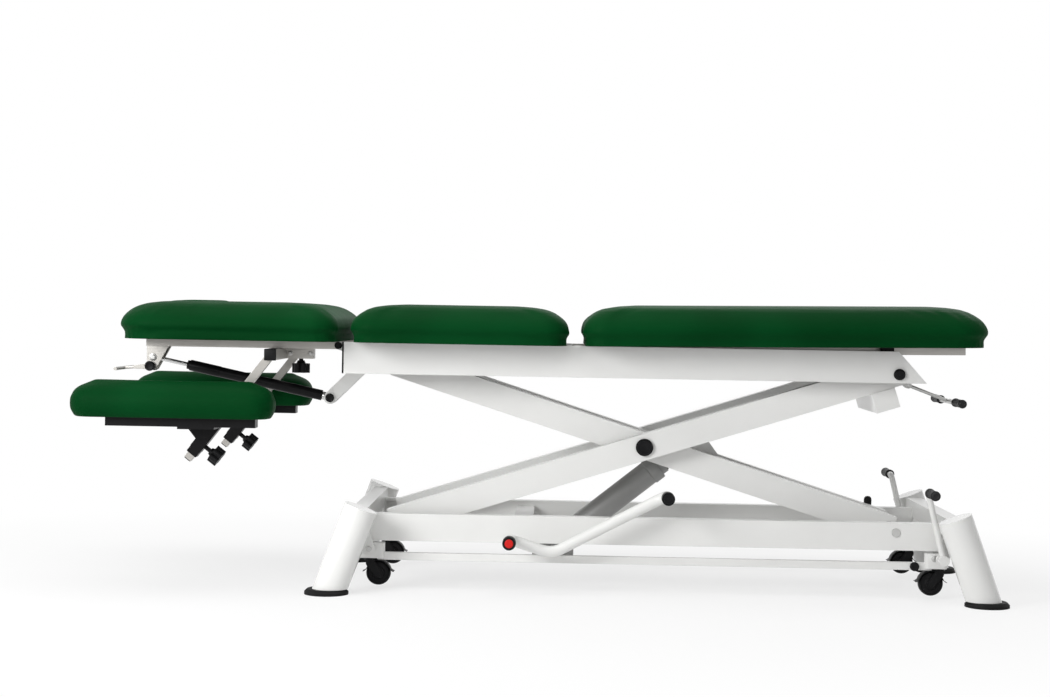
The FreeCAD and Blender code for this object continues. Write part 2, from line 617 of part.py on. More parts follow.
def pump_pedal():
    """Bent foot pedal outside the rail, on a shaft that turns in the pump."""
    tip_y = -PEDAL_OUT - PEG_L
    middle = point(PEDAL_X, PEDAL_Z)
    head = point(PEDAL_X - PEDAL_HEAD_BACK, PEDAL_Z + PEDAL_HEAD_RISE)
    leg = point(PEDAL_X + PEDAL_LEG_AHEAD, PEDAL_Z + PEDAL_LEG_RISE)
    route = [Vec(head.x, tip_y, head.z)] + [Vec(p.x, -PEDAL_OUT, p.z) for p in (head, middle, leg)]
    route.append(Vec(leg.x, tip_y, leg.z))
    bar = bent_bar(route, [2 * PEDAL_R, PEDAL_BEND, 2 * PEDAL_R], PEDAL_R)
    shaft = rod_y(PEDAL_X, PEDAL_Z, PEDAL_SHAFT_R, -PEDAL_OUT, PEDAL_BORE - PUMP_OUT - SIDE)
    node("pump_pedal", [fused(bar, shaft)])
    for name, end in (("pedal_head_cap", head), ("pedal_leg_cap", leg)):
        cap = rod_y(end.x, end.z, PEG_CAP_R, tip_y - PEG_CAP_R / 2, tip_y + PEG_CAP_L)
        node(name, [cap.cut(rod_y(end.x, end.z, PEDAL_R + FIT, tip_y, tip_y + PEG_CAP_L + PAST))])


def scissor_arm(y, end_bores):
    """Box tube with three bosses, level and centred on its middle pivot."""
    half = ARM_HALF + ARM_OVERHANG
    y0 = y - ARM_W / 2
    y1 = y + ARM_W / 2
    arm = tube_x(-half, half, y0, y1, -ARM_DEPTH / 2, ARM_DEPTH / 2, ARM_WALL)
    places = (-ARM_HALF, 0, ARM_HALF)
    arm = fused(arm, *[rod_y(s, 0, BOSS_R, y0, y1) for s in places])
    for s, bore in zip(places, end_bores):
        arm = arm.cut(rod_y(s, 0, bore + FIT, y0 - PAST, y1 + PAST))
    return arm


def on_arm(shape, sign):
    """Turn a level arm piece to its slope and put it on the centre pivot. Outer arms rise to +X."""
    turned = shape.copy()
    turned.rotate(Vec(0, 0, 0), Y_AXIS, -sign * math.degrees(SWING))
    turned.translate(CENTRE)
    return turned


def inner_arms():
    """Arms that pivot on the base, with the tie tube and the cheeks of the ram's head."""
    arm = on_arm(scissor_arm(INNER_ARM_Y, (AXLE_R, SHAFT_R, SHAFT_R)), -1)
    reach = INNER_ARM_Y - ARM_W / 2
    tie = ring_y(TIE_X, TIE_Z, TIE_R, TIE_R - TIE_WALL, -reach, reach)
    y0 = RAM_EYE_W / 2 + SIDE
    y1 = y0 + CHEEK_T
    cheek = link(point(TIE_X, TIE_Z), point(RAM_HEAD_X, RAM_HEAD_Z), TIE_R + CHEEK_T,
                 RAM_EYE_R + CHEEK_T / 2, y0, y1)
    cheek = cheek.cut(rod_y(TIE_X, TIE_Z, TIE_R - TIE_WALL / 2, y0 - PAST, y1 + PAST))
    node("inner_arms", [*pair(arm), fused(tie, *pair(cheek))])


def outer_arms():
    """Arms that carry the top frame, with the box tie under their upper ends."""
    arm = on_arm(scissor_arm(OUTER_ARM_Y, (AXLE_R, SHAFT_R, SHAFT_R)), 1)
    reach = OUTER_ARM_Y + ARM_W / 2
    under = -ARM_DEPTH / 2
    x1 = BLOCK_ALONG + BLOCK_L
    tie = tube_y(BLOCK_ALONG, x1, -reach, reach, under - BLOCK_H, under, BLOCK_WALL)
    closing = box(BLOCK_ALONG, x1, reach, reach + BLOCK_END_T, under - BLOCK_H, under)
    node("outer_arms", [*pair(arm), on_arm(tie, 1), *pair(on_arm(closing, 1))])


def roller_axle(name, z):
    """Axle with a roller at each end, turning in the arms' bosses."""
    reach = ROLLER_Y + ROLLER_W / 2
    axle = rod_y(ROLLER_X, z, AXLE_R, -reach, reach)
    roller = rod_y(ROLLER_X, z, ROLLER_R, ROLLER_Y - ROLLER_W / 2, reach)
    node(name, [fused(axle, *pair(roller))])


def pivot_cap(pivot, r, y0):
    """Round cap with a chamfered rim."""
    y1 = y0 + CAP_H
    cap = rod_y(pivot.x, pivot.z, r, y0, y1)
    return cap.makeChamfer(CAP_H / 3, [e for e in cap.Edges if abs(e.CenterOfMass.y - y1) < FIT])


def centre_pivot_bolts():
    """Capped bolts that join the arms, with a washer between each pair of arms."""
    inside = INNER_ARM_Y - ARM_W / 2
    between = INNER_ARM_Y + ARM_W / 2
    gap_end = OUTER_ARM_Y - ARM_W / 2 - SIDE
    outside = OUTER_ARM_Y + ARM_W / 2 + SIDE
    bolt = rod_y(CENTRE.x, CENTRE.z, SHAFT_R, inside, outside)
    head = rod_y(CENTRE.x, CENTRE.z, SPACER_R, inside - CAP_H / 2, inside)
    cap = pivot_cap(CENTRE, CAP_R, outside)
    washer = ring_y(CENTRE.x, CENTRE.z, SPACER_R, SHAFT_R + FIT, between, gap_end)
    node("centre_pivot_bolts", [*pair(fused(bolt, head, cap)), *pair(washer)])


def spring_barrel(name, foot, rod_end, eye, eye_w, tube, tube_r, bore_r, pin_r):
    """Closed tube on a foot eye, bored for its rod. tube is where it starts and ends on the axis."""
    neck = rod(foot, toward(foot, rod_end, tube[0] + PAST), eye * EYE_NECK)
    shell = rod(toward(foot, rod_end, tube[0]), toward(foot, rod_end, tube[1]), tube_r)
    nose = rod(toward(foot, rod_end, tube[1]), toward(foot, rod_end, tube[1] + tube_r / 2), tube_r * NOSE_SHARE)
    boss = rod_y(foot.x, foot.z, eye, -eye_w / 2, eye_w / 2)
    bore = rod(toward(foot, rod_end, tube[0] + tube_r), toward(foot, rod_end, tube[1] + tube_r), bore_r + FIT)
    body = fused(boss, neck, shell, nose).cut(bore)
    node(name, [body.cut(rod_y(foot.x, foot.z, pin_r + FIT, -eye_w, eye_w))])


def spring_rod(name, foot, rod_end, eye, eye_w, start, rod_r):
    """Rod that slides in the tube, with an eye at its free end."""
    bar = rod(toward(foot, rod_end, start), rod_end, rod_r)
    node(name, [fused(bar, rod_y(rod_end.x, rod_end.z, eye, -eye_w / 2, eye_w / 2))])


def hydraulic_ram():
    foot = point(RAM_FOOT_X, RAM_FOOT_Z)
    head = point(RAM_HEAD_X, RAM_HEAD_Z)
    tube_end = head.sub(foot).Length - RAM_ROD_SHOWN
    spring_barrel("ram_barrel", foot, head, RAM_EYE_R, RAM_EYE_W, (RAM_TUBE_S0, tube_end), RAM_R, RAM_ROD_R,
                  RAM_PIN_R)
    spring_rod("ram_rod", foot, head, RAM_EYE_R, RAM_EYE_W, tube_end * RAM_ROD_START, RAM_ROD_R)


def gas_springs():
    eye = (GAS_EYE_R, GAS_EYE_W)
    head = (point(HEAD_EYE_X, HEAD_EYE_Z), point(HEAD_ROD_X, HEAD_ROD_Z))
    leg = (point(LEG_EYE_X, LEG_EYE_Z), leg_sloped(Part.Vertex(point(LEG_ROD_X, LEG_ROD_Z))).Point)
    for name, ends, shown in (("head", head, HEAD_ROD_SHOWN), ("leg", leg, LEG_ROD_SHOWN)):
        tube_end = ends[1].sub(ends[0]).Length - shown
        tube = (GAS_TUBE_S0, tube_end)
        spring_barrel(name + "_gas_barrel", *ends, *eye, tube, GAS_R, GAS_ROD_R, GAS_PIN_R)
        spring_rod(name + "_gas_rod", *ends, *eye, tube_end * GAS_ROD_START, GAS_ROD_R)


def leg_sloped(shape):
    """A piece of the leg section, turned about its hinge to the slope at rest."""
    turned = shape.copy()
    turned.rotate(hinge_point(1), Y_AXIS, -LEG_REST)
    return turned


def lug_pair(bar, eye, r, y0, bore):
    """Two flat cheeks welded to a square bar across the table, with a bored eye at their free end."""
    root = bar.BoundBox.Center
    y1 = y0 + LUG_T
    cheek = link(point(root.x, root.z), eye, r, r, y0, y1)
    cheek = cheek.cut(bar).cut(rod_y(eye.x, eye.z, bore + FIT, y0 - PAST, y1 + PAST))
    return pair(max(cheek.Solids, key=lambda solid: solid.Volume))


def top_rails():
    """Box rails with a slanted leg end, roller slot, pivot bore and seats for the rubber stops."""
    top = TOP_RAIL_Z + TOP_RAIL_H
    slope = TOP_RAIL_CUT / TOP_RAIL_H
    inset = RAIL_WALL * math.hypot(1, slope) + RAIL_WALL * slope
    rail = plate([(TOP_RAIL_X0, TOP_RAIL_Z), (TOP_RAIL_X1, TOP_RAIL_Z), (TOP_RAIL_X1 - TOP_RAIL_CUT, top),
                  (TOP_RAIL_X0, top)], RAIL_IN, RAIL_OUT)
    hollow_x1 = TOP_RAIL_X1 - inset
    hollow_cut = slope * (TOP_RAIL_H - 2 * RAIL_WALL)
    hollow = plate([(TOP_RAIL_X0 - PAST, TOP_RAIL_Z + RAIL_WALL), (hollow_x1, TOP_RAIL_Z + RAIL_WALL),
                    (hollow_x1 - hollow_cut, top - RAIL_WALL), (TOP_RAIL_X0 - PAST, top - RAIL_WALL)],
                   RAIL_IN + RAIL_WALL, RAIL_OUT - RAIL_WALL)
    rail = rail.cut(hollow).cut(slot_cutter(HIGH_PIVOT_Z, 1))
    rail = rail.cut(rod_y(PIVOT_X, HIGH_PIVOT_Z, SHAFT_R + FIT, RAIL_IN - PAST, RAIL_OUT + PAST))
    rise = (STOP_X - LEG_HINGE_X) * math.tan(math.radians(LEG_REST))
    stop_top = top + rise - STOP_GAP
    stop = box(STOP_X, STOP_X + STOP_L, RAIL_Y - STOP_W / 2, RAIL_Y + STOP_W / 2, top - STOP_H, stop_top)
    rail = rail.cut(stop)
    node("top_rails", pair(rail))
    node("rubber_stops", pair(stop))
    end_cap = box(TOP_RAIL_X0 - CAP_T, TOP_RAIL_X0, RAIL_IN, RAIL_OUT, TOP_RAIL_Z, top)
    plug = box(TOP_RAIL_X0, TOP_RAIL_X0 + 3 * CAP_T, RAIL_IN + RAIL_WALL + SEAT, RAIL_OUT - RAIL_WALL - SEAT,
               TOP_RAIL_Z + RAIL_WALL + SEAT, top - RAIL_WALL - SEAT)
    node("rail_end_caps", pair(fused(end_cap, plug)))


def hinge_point(section):
    """Hinge axis of the head (-1) or leg (1) section."""
    if section < 0:
        return point(HEAD_HINGE_X, HEAD_HINGE_Z)
    return point(LEG_HINGE_X, LEG_HINGE_Z)


def top_cross_tubes():
    """Tubes between the rails with the gas spring lugs, the lever bar and the hinge ears."""
    top = CROSS_Z + CROSS_H
    tubes = [tube_y(x, x + CROSS_W, -RAIL_IN, RAIL_IN, CROSS_Z, top, CROSS_WALL) for x in CROSS_X]
    gas_y = GAS_EYE_W / 2 + SIDE
    lugs = []
    for x, eye in ((CROSS_X[0], point(HEAD_EYE_X, HEAD_EYE_Z)), (CROSS_X[2], point(LEG_EYE_X, LEG_EYE_Z))):
        outside = box(x, x + CROSS_W, -RAIL_IN, RAIL_IN, CROSS_Z, top)
        lugs += lug_pair(outside, eye, LUG_HALF, gas_y, GAS_PIN_R)
    bar_x1 = LEVER_BAR_X + LEVER_BAR_W
    lever_bar = box(LEVER_BAR_X, bar_x1, -RAIL_IN, RAIL_IN, TOP_RAIL_Z, TOP_RAIL_Z + LEVER_BAR_W)
    lever_eye = point(LEG_LEVER_X, LEG_LEVER_Z)
    lugs += lug_pair(lever_bar, lever_eye, LEVER_BAR_W / 2, LEVER_R * 2 + SIDE, LEVER_R)
    ears = []
    for section in (-1, 1):
        hinge = hinge_point(section)
        y0 = RAIL_IN - HINGE_EAR_T
        root = point(hinge.x - section * 3 * HINGE_EYE_R, TOP_RAIL_Z + TOP_RAIL_H - 2 * HINGE_EYE_R)
        ear = link(root, hinge, HINGE_EYE_R, HINGE_EYE_R, y0, RAIL_IN)
        ears += pair(ear.cut(rod_y(hinge.x, hinge.z, HINGE_PIN_R + FIT, y0 - PAST, RAIL_IN + PAST)))
    node("top_cross_tubes", tubes + [lever_bar] + lugs + ears)


def top_frame_pins():
    """Scissor shaft with spacers and caps, section hinge pins and gas spring foot pins."""
    shaft = rod_y(PIVOT_X, HIGH_PIVOT_Z, SHAFT_R, -RAIL_OUT, RAIL_OUT)
    cap = pivot_cap(point(PIVOT_X, HIGH_PIVOT_Z), TOP_CAP_R, RAIL_OUT)
    arm_side = OUTER_ARM_Y + ARM_W / 2 + SIDE
    spacer = ring_y(PIVOT_X, HIGH_PIVOT_Z, SPACER_R, SHAFT_R + FIT, arm_side, RAIL_IN)
    node("top_pivot_shaft", [fused(shaft, *pair(cap)), *pair(spacer)])
    pins = []
    inside = FRAME_Y - FRAME_W / 2 - SIDE
    for section in (-1, 1):
        hinge = hinge_point(section)
        pins += pair(rod_y(hinge.x, hinge.z, HINGE_PIN_R, inside, RAIL_IN))
    reach = GAS_EYE_W / 2 + SIDE + LUG_T
    for x, z in ((HEAD_EYE_X, HEAD_EYE_Z), (LEG_EYE_X, LEG_EYE_Z)):
        head = rod_y(x, z, 2 * GAS_PIN_R, reach, reach + GAS_PIN_R)
        pins.append(fused(rod_y(x, z, GAS_PIN_R, -reach, reach), *pair(head)))
    lever_reach = LEVER_R * 2 + SIDE + LUG_T
    pins.append(rod_y(LEG_LEVER_X, LEG_LEVER_Z, LEVER_R, -lever_reach, lever_reach))
    node("top_frame_pins", pins)


def rounded_outline(x0, x1, y0, y1, z, r0, r1):
    """Plan outline at height z, with corner radius r0 at the x0 end and r1 at the x1 end."""
    def arc(cx, cy, r, start):
        angles = [math.radians(start + turn) for turn in (0, 45, 90)]
        return Part.Arc(*[Vec(cx + r * math.cos(a), cy + r * math.sin(a), z) for a in angles]).toShape()

    arcs = [arc(x1 - r1, y1 - r1, r1, 0), arc(x0 + r0, y1 - r0, r0, 90),
            arc(x0 + r0, y0 + r0, r0, 180), arc(x1 - r1, y0 + r1, r1, 270)]
    edges = []
    for here, after in zip(arcs, arcs[1:] + arcs[:1]):
        edges.append(here)
        edges.append(Part.LineSegment(here.Vertexes[-1].Point, after.Vertexes[0].Point).toShape())
    return Part.Wire(edges)


def slab(x0, x1, y0, y1, z0, z1, r0, r1):
    """Flat board with round corners."""
    return Part.Face(rounded_outline(x0, x1, y0, y1, z0, r0, r1)).extrude(Vec(0, 0, z1 - z0))


def cushion(x0, x1, y0, y1, z0, z1, r0, r1, levels, ends=(1, 1)):
    """Crowned pad whose sides draw in to the board below. ends: column of levels for each end's inset."""
    sections = []
    for row in levels:
        inset = row[1]
        widest = ((y1 - y0) / 2 - inset) * ROUND_LIMIT
        radii = [min(r - inset * CORNER_SHRINK, widest) for r in (r0, r1)]
        z = z0 + row[0] * (z1 - z0)
        x_ends = (x0 + row[ends[0]], x1 - row[ends[1]])
        sections.append(rounded_outline(*x_ends, y0 + inset, y1 - inset, z, *radii))
    return Part.makeLoft(sections, True, True)


def face_hole(z0, z1, gap):
    """Oval of the face hole, drawn in by the gap."""
    half_l = HOLE_L / 2 - gap
    half_w = HOLE_W / 2 - gap
    r = HOLE_CORNER - gap
    return slab(HOLE_X - half_l, HOLE_X + half_l, -half_w, half_w, z0, z1, r, r)


def pads():
    """Base board and pad of each section, and the lift-out plug of the face hole."""
    foam_z = PAD_Z + BOARD_T
    edge = PAD_HALF_W - BOARD_INSET
    drawn = BOARD_INSET * CORNER_SHRINK
    hole = face_hole(PAD_Z - PAST, PAD_TOP_Z + PAST, 0)
    sections = (("head", HEAD_PAD_X0, HEAD_PAD_X1, PAD_T, OUTER_CORNER, INNER_CORNER, (1, 2)),
                ("centre", MID_PAD_X0, MID_PAD_X1, PAD_T, INNER_CORNER, INNER_CORNER, (2, 2)),
                ("leg", LEG_PAD_X0, LEG_PAD_X1, LEG_PAD_T, INNER_CORNER, OUTER_CORNER, (2, 1)))
    for name, x0, x1, foam, r0, r1, ends in sections:
        board = slab(x0 + BOARD_INSET, x1 - BOARD_INSET, -edge, edge, PAD_Z, foam_z, r0 - drawn, r1 - drawn)
        sides = (x0, x1, -PAD_HALF_W, PAD_HALF_W)
        pad = cushion(*sides, foam_z, foam_z + foam, r0, r1, PAD_LEVELS, ends)
        if name == "head":
            raised = pad.translated(Vec(0, 0, PLUG_RISE))
            plug = raised.common(face_hole(PAD_TOP_Z - PLUG_T, PAD_TOP_Z + PAST + PLUG_RISE, PLUG_GAP))
            node("face_plug", plug.Solids)
            board = board.cut(hole)
            pad = pad.cut(hole)
        if name == "leg":
            board = leg_sloped(board)
            pad = leg_sloped(pad)
        node(name + "_board", [board])
        node(name + "_pad", [pad])


def section_frame(hinge, x_free, cross_places):
    """Side tubes with hinge eyes at one end, and the cross tubes welded between them."""
    top = FRAME_Z + FRAME_H
    inside = FRAME_Y - FRAME_W / 2
    outside = FRAME_Y + FRAME_W / 2
    x0, x1 = sorted((hinge.x, x_free))
    side = tube_x(x0, x1, inside, outside, FRAME_Z, top, FRAME_WALL)
    side = fused(side, rod_y(hinge.x, hinge.z, HINGE_EYE_R, inside, outside))
    side = side.cut(rod_y(hinge.x, hinge.z, HINGE_PIN_R + FIT, inside - PAST, outside + PAST))
    crosses = [tube_y(x, x + FRAME_W, -inside, inside, FRAME_Z, top, FRAME_WALL) for x in cross_places]
    return pair(side) + crosses


def head_frame():
    """Head section frame with the two cheeks for the gas spring's rod and the release lever."""
    second = ARM_TUBE_X + ARM_TUBE / 2 + CLAMP_L - FRAME_W / 2
    frame = section_frame(hinge_point(-1), HEAD_FRAME_X0, (HEAD_FRAME_X0, second))
    y0 = GAS_EYE_W / 2 + SIDE
    left = HEAD_ROD_X - LUG_HALF
    low = HEAD_LEVER_Z - 2 * LEVER_R
    cheek = plate([(left, low), (HEAD_LEVER_X + 3 * LEVER_R, low), (HEAD_FRAME_X0 + FRAME_W, FRAME_Z),
                   (left, FRAME_Z)], y0, y0 + LUG_T)
    pin_end = y0 + LUG_T + 2 * LEVER_R
    pin = rod_y(HEAD_LEVER_X, HEAD_LEVER_Z, LEVER_R, y0 + LUG_T, pin_end)
    node("head_frame", frame + pair(fused(cheek, pin)))


def head_release_lever():
    """Forked lever outside the cheeks, ending in a cross bar."""
    y0 = GAS_EYE_W / 2 + SIDE + LUG_T + SIDE
    y1 = y0 + PRONG_T
    pivot = point(HEAD_LEVER_X, HEAD_LEVER_Z)
    bridge = toward(pivot, point(HEAD_BAR_X, HEAD_BAR_Z), PRONG_L)
    prong = link(pivot, bridge, 2 * LEVER_R, LEVER_R, y0, y1)
    prong = prong.cut(rod_y(pivot.x, pivot.z, LEVER_R + FIT, y0 - PAST, y1 + PAST))
    yoke = rod_y(bridge.x, bridge.z, LEVER_R, -y1, y1)
    stalk = rod(bridge, point(HEAD_BAR_X, HEAD_BAR_Z), STALK_R)
    bar = rod_y(HEAD_BAR_X, HEAD_BAR_Z, LEVER_R, -HEAD_BAR_HALF, HEAD_BAR_HALF)
    node("head_release_lever", [fused(yoke, stalk, bar, *pair(prong))])


def leg_frame():
    """Leg section frame with the cheeks for its gas spring's rod."""
    middle = LEG_ROD_X - FRAME_W / 2
    frame = section_frame(hinge_point(1), LEG_FRAME_X1, (middle, LEG_FRAME_X1 - FRAME_W))
    root = point(LEG_ROD_X, FRAME_Z + FRAME_H / 2)
    y0 = GAS_EYE_W / 2 + SIDE
    cheek = link(root, point(LEG_ROD_X, LEG_ROD_Z), FRAME_H / 2, LUG_HALF, y0, y0 + LUG_T)
    cheek = cheek.cut(box(middle, middle + FRAME_W, -FRAME_Y, FRAME_Y, FRAME_Z, FRAME_Z + FRAME_H))
    node("leg_frame", [leg_sloped(piece) for piece in frame + pair(cheek)])


def leg_release_lever():
    """Thin stalk from the lever bar to a cross bar with two grips."""
    pivot = point(LEG_LEVER_X, LEG_LEVER_Z)
    tip = point(LEG_BAR_X, LEG_BAR_Z)
    hub = rod_y(pivot.x, pivot.z, LEVER_BAR_W / 2, -2 * LEVER_R, 2 * LEVER_R)
    stalk = rod(pivot, tip, LEVER_R)
    bar = rod_y(tip.x, tip.z, LEG_BAR_R, -LEG_BAR_HALF, LEG_BAR_HALF)
    lever = fused(hub, stalk, bar).cut(rod_y(pivot.x, pivot.z, LEVER_R + FIT, -GRIP_L, GRIP_L))
    node("leg_release_lever", [lever])
    node("leg_lever_grips", pair(grip_sleeve(tip, LEG_BAR_HALF, LEG_BAR_R, GRIP_R, GRIP_L)))


def grip_sleeve(end, y_end, bar_r, r, length):
    """Closed rubber grip over the +Y end of a cross bar."""
    sleeve = rod_y(end.x, end.z, r, y_end - length, y_end + bar_r)
    sleeve = sleeve.makeChamfer(r / 4, [e for e in sleeve.Edges if abs(e.Length - 2 * math.pi * r) < FIT])
    return sleeve.cut(rod_y(end.x, end.z, bar_r + FIT, y_end - length - PAST, y_end))


def post_frame():
    """Top of an arm post's axis and its unit direction downwards."""
    top = point(ARM_TUBE_X, FRAME_Z - ARM_TUBE / 2)
    return top, point(POST_END_X, POST_END_Z).sub(top)


def square_bar(s0, s1, half, y):
    """Square bar along an arm post's axis."""
    top, run = post_frame()
    bar = box(-half, half, y - half, y + half, -s1, -s0)
    bar.rotate(Vec(0, 0, 0), Y_AXIS, math.degrees(math.atan2(-run.x, -run.z)))
    bar.translate(top)
    return bar


def arm_support():
    """Cross tube under the head frame with two slanted posts, and its clamp block."""
    half = ARM_TUBE / 2
    z0 = FRAME_Z - ARM_TUBE
    reach = ARM_TUBE_HALF
    x1 = ARM_TUBE_X + half
    tube = tube_y(ARM_TUBE_X - half, x1, -reach, reach, z0, FRAME_Z, ARM_TUBE_WALL)
    length = post_frame()[1].Length
    post = square_bar(0, length, POST_W / 2, POST_Y)
    post = post.cut(box(ARM_TUBE_X - half, x1, -reach, reach, z0, FRAME_Z))
    post = max(post.Solids, key=lambda solid: solid.Volume)
    clamp = box(x1, x1 + CLAMP_L, -CLAMP_OUT - CLAMP_W / 2, CLAMP_W / 2 - CLAMP_OUT, z0, FRAME_Z)
    bore = Part.makeCylinder(KNOB_STEM_R + FIT, CLAMP_BORE, Vec(x1 + CLAMP_L / 2, -CLAMP_OUT, z0))
    clamp = clamp.cut(bore)
    node("arm_support", [tube, *pair(post), clamp])


def star_knob(base, axis):
    """Lobed hand knob on a stem that starts at base and points along axis."""
    stem = Part.makeCylinder(KNOB_STEM_R, KNOB_STEM_L + PAST)
    hub = Part.makeCylinder(KNOB_R - KNOB_LOBE_R, KNOB_H, Vec(0, 0, KNOB_STEM_L))
    collar = Part.makeCone(COLLAR_R0, COLLAR_R1, COLLAR_H, Vec(0, 0, KNOB_STEM_L - COLLAR_H))
    reach = KNOB_R - KNOB_LOBE_R
    lobes = []
    for i in range(KNOB_LOBES):
        a = 2 * math.pi * i / KNOB_LOBES
        foot = Vec(reach * math.cos(a), reach * math.sin(a), KNOB_STEM_L)
        lobes.append(Part.makeCylinder(KNOB_LOBE_R, KNOB_H, foot))
    knob = fused(stem, collar, hub, *lobes)
    knob.Placement = FreeCAD.Placement(base, FreeCAD.Rotation(Vec(0, 0, 1), axis))
    return knob


def arm_rests():
    """Sleeve, bracket and bar that slide on each post, with pad and clamp knob."""
    top, run = post_frame()
    along = Vec(run).normalize()
    out = Vec(-along.z, 0, along.x)
    hole_half = POST_W / 2 + 2 * FIT
    sleeve_half = hole_half + SLEEVE_WALL
    sleeve = square_bar(SLEEVE_S0, SLEEVE_S1, sleeve_half, POST_Y)
    side = POST_Y + sleeve_half
    seat = ARM_PAD_Z - ARM_BAR_H
    s_mid = (SLEEVE_S0 + SLEEVE_S1) / 2
    low = top.add(Vec(along).multiply(s_mid + SLEEVE_WALL * 4))
    high = top.add(Vec(along).multiply(SLEEVE_S0))
    gusset = plate([(low.x - sleeve_half, low.z), (low.x + sleeve_half, low.z), (high.x, seat),
                    (low.x - ARM_BAR_W, seat)], side - SLEEVE_WALL, side + SLEEVE_WALL)
    shelf = box(low.x - ARM_BAR_W, high.x, side, ARM_PAD_Y + ARM_BAR_W / 2, seat - SLEEVE_WALL, seat)
    bar = box(ARM_BAR_X0, ARM_BAR_X1, ARM_PAD_Y - ARM_BAR_W / 2, ARM_PAD_Y + ARM_BAR_W / 2, seat, ARM_PAD_Z)
    knob_root = top.add(Vec(along).multiply(ARM_KNOB_S)).add(Vec(0, POST_Y, 0))
    stem_hole = rod(knob_root, knob_root.add(Vec(out).multiply(2 * sleeve_half)), KNOB_STEM_R + FIT)
    passage = square_bar(SLEEVE_S0 - PAST, SLEEVE_S1 + PAST, hole_half, POST_Y)
    carrier = fused(sleeve, gusset, shelf, bar).cut(passage).cut(stem_hole)
    sides = (ARM_PAD_Y - ARM_PAD_W / 2, ARM_PAD_Y + ARM_PAD_W / 2)
    pad = cushion(ARM_PAD_TIP_X, ARM_PAD_TIP_X + ARM_PAD_L, *sides, ARM_PAD_Z, ARM_PAD_TOP_Z, ARM_PAD_CORNER,
                  ARM_PAD_CORNER, ARM_LEVELS)
    knob = star_knob(knob_root.add(Vec(out).multiply(POST_W / 2 + SIDE)), out)
    for name, piece in (("arm_carrier", carrier), ("arm_pad", pad), ("arm_knob", knob)):
        node("near_" + name, [mirrored(piece)])
        node("far_" + name, [piece])
    clamp_x = ARM_TUBE_X + ARM_TUBE / 2 + CLAMP_L / 2
    seat_z = FRAME_Z - ARM_TUBE + CLAMP_BORE - SIDE
    node("arm_tube_knob", [star_knob(Vec(clamp_x, -CLAMP_OUT, seat_z), Vec(0, 0, -1))])


def castor_shaft(end, outer_end):
    """Cranked shaft with its throws in the carriage blocks, without levers."""
    shaft = castor_shaft_point(end)
    pin_x = shaft.x - CRANK
    pin_in = BLOCK_Y - BLOCK_W / 2 - SIDE
    pin_out = BLOCK_Y + BLOCK_W / 2 + SIDE
    middle = rod_y(shaft.x, shaft.z, CASTOR_SHAFT_R, CRANK_T - pin_in, pin_in - CRANK_T)
    pieces = [middle]
    for y in (pin_in - CRANK_T, pin_out):
        pin = point(pin_x, shaft.z)
        web = link(shaft, pin, CASTOR_SHAFT_R + CRANK_T / 2, CRANK_PIN_R + CRANK_T / 2, y, y + CRANK_T)
        pieces += pair(web)
    pieces += pair(rod_y(pin_x, shaft.z, CRANK_PIN_R, pin_in - CRANK_T, pin_out + CRANK_T))
    pieces += pair(rod_y(shaft.x, shaft.z, CASTOR_SHAFT_R, pin_out, outer_end))
    return fused(*pieces)


def castor_shafts():
    """Shafts that lower the castors. The leg end's shaft has a hand lever on each side."""
    outer_end = HANGER_OUT_Y + HANGER_T
    node("head_castor_shaft", [castor_shaft(-1, outer_end)])
    shaft = castor_shaft_point(1)
    tip = Vec(BASE_X + LEVER_TIP_X, LEVER_Y, LEVER_TIP_Z)
    lever_end = LEVER_Y + LEVER_GRIP_L
    hub_half = LEVER_ROD_R + FORK_T / 2
    hub = rod_y(shaft.x, shaft.z, LEVER_HUB_R, LEVER_Y - hub_half, LEVER_Y + hub_half)
    route = [Vec(shaft.x, LEVER_Y, shaft.z), tip, Vec(tip.x, lever_end, tip.z)]
    lever = fused(hub, bent_bar(route, [2 * LEVER_ROD_R], LEVER_ROD_R))
    lever = lever.cut(rod_y(shaft.x, shaft.z, CASTOR_SHAFT_R, 0, LEVER_Y + LEVER_ROD_R))
    node("leg_castor_shaft", [castor_shaft(1, LEVER_Y + LEVER_ROD_R), *pair(lever)])
    grip_l = LEVER_GRIP_L - 3 * LEVER_ROD_R
    node("castor_lever_grips", pair(grip_sleeve(tip, lever_end, LEVER_ROD_R, LEVER_GRIP_R, grip_l)))


def castor_carriage():
    """Long bar with a block at each end, hung on the shafts' cranks. One on each side."""
    y0 = BLOCK_Y - BLOCK_W / 2
    y1 = BLOCK_Y + BLOCK_W / 2
    pieces = []
    for end in (-1, 1):
        x0, x1 = sorted((BASE_X + end * BLOCK_X0, BASE_X + end * BLOCK_X1))
        if end < 0:
            x0 -= CRANK
        block = box(x0, x1, y0, y1, BLOCK_Z0, BLOCK_Z1)
        pieces.append(block.makeFillet(CRANK_T, upright_edges(block)))
    reach = BLOCK_X0 + CRANK
    bar = box(BASE_X - reach, BASE_X + reach, BLOCK_Y - BAR_W / 2, BLOCK_Y + BAR_W / 2, BAR_Z0, BAR_Z0 + BAR_H)
    carriage = fused(bar, *pieces)
    for end in (-1, 1):
        shaft = castor_shaft_point(end)
        stem_x = BASE_X + end * STEM_X
        carriage = carriage.cut(rod_y(shaft.x - CRANK, shaft.z, CRANK_PIN_R + FIT, y0 - PAST, y1 + PAST))
        bore = Part.makeCylinder(STEM_R + STEM_FIT, STEM_TOP_Z + SIDE, Vec(stem_x, BLOCK_Y, 0))
        carriage = carriage.cut(bore)
    node("far_castor_carriage", [carriage])
    node("near_castor_carriage", [mirrored(carriage)])


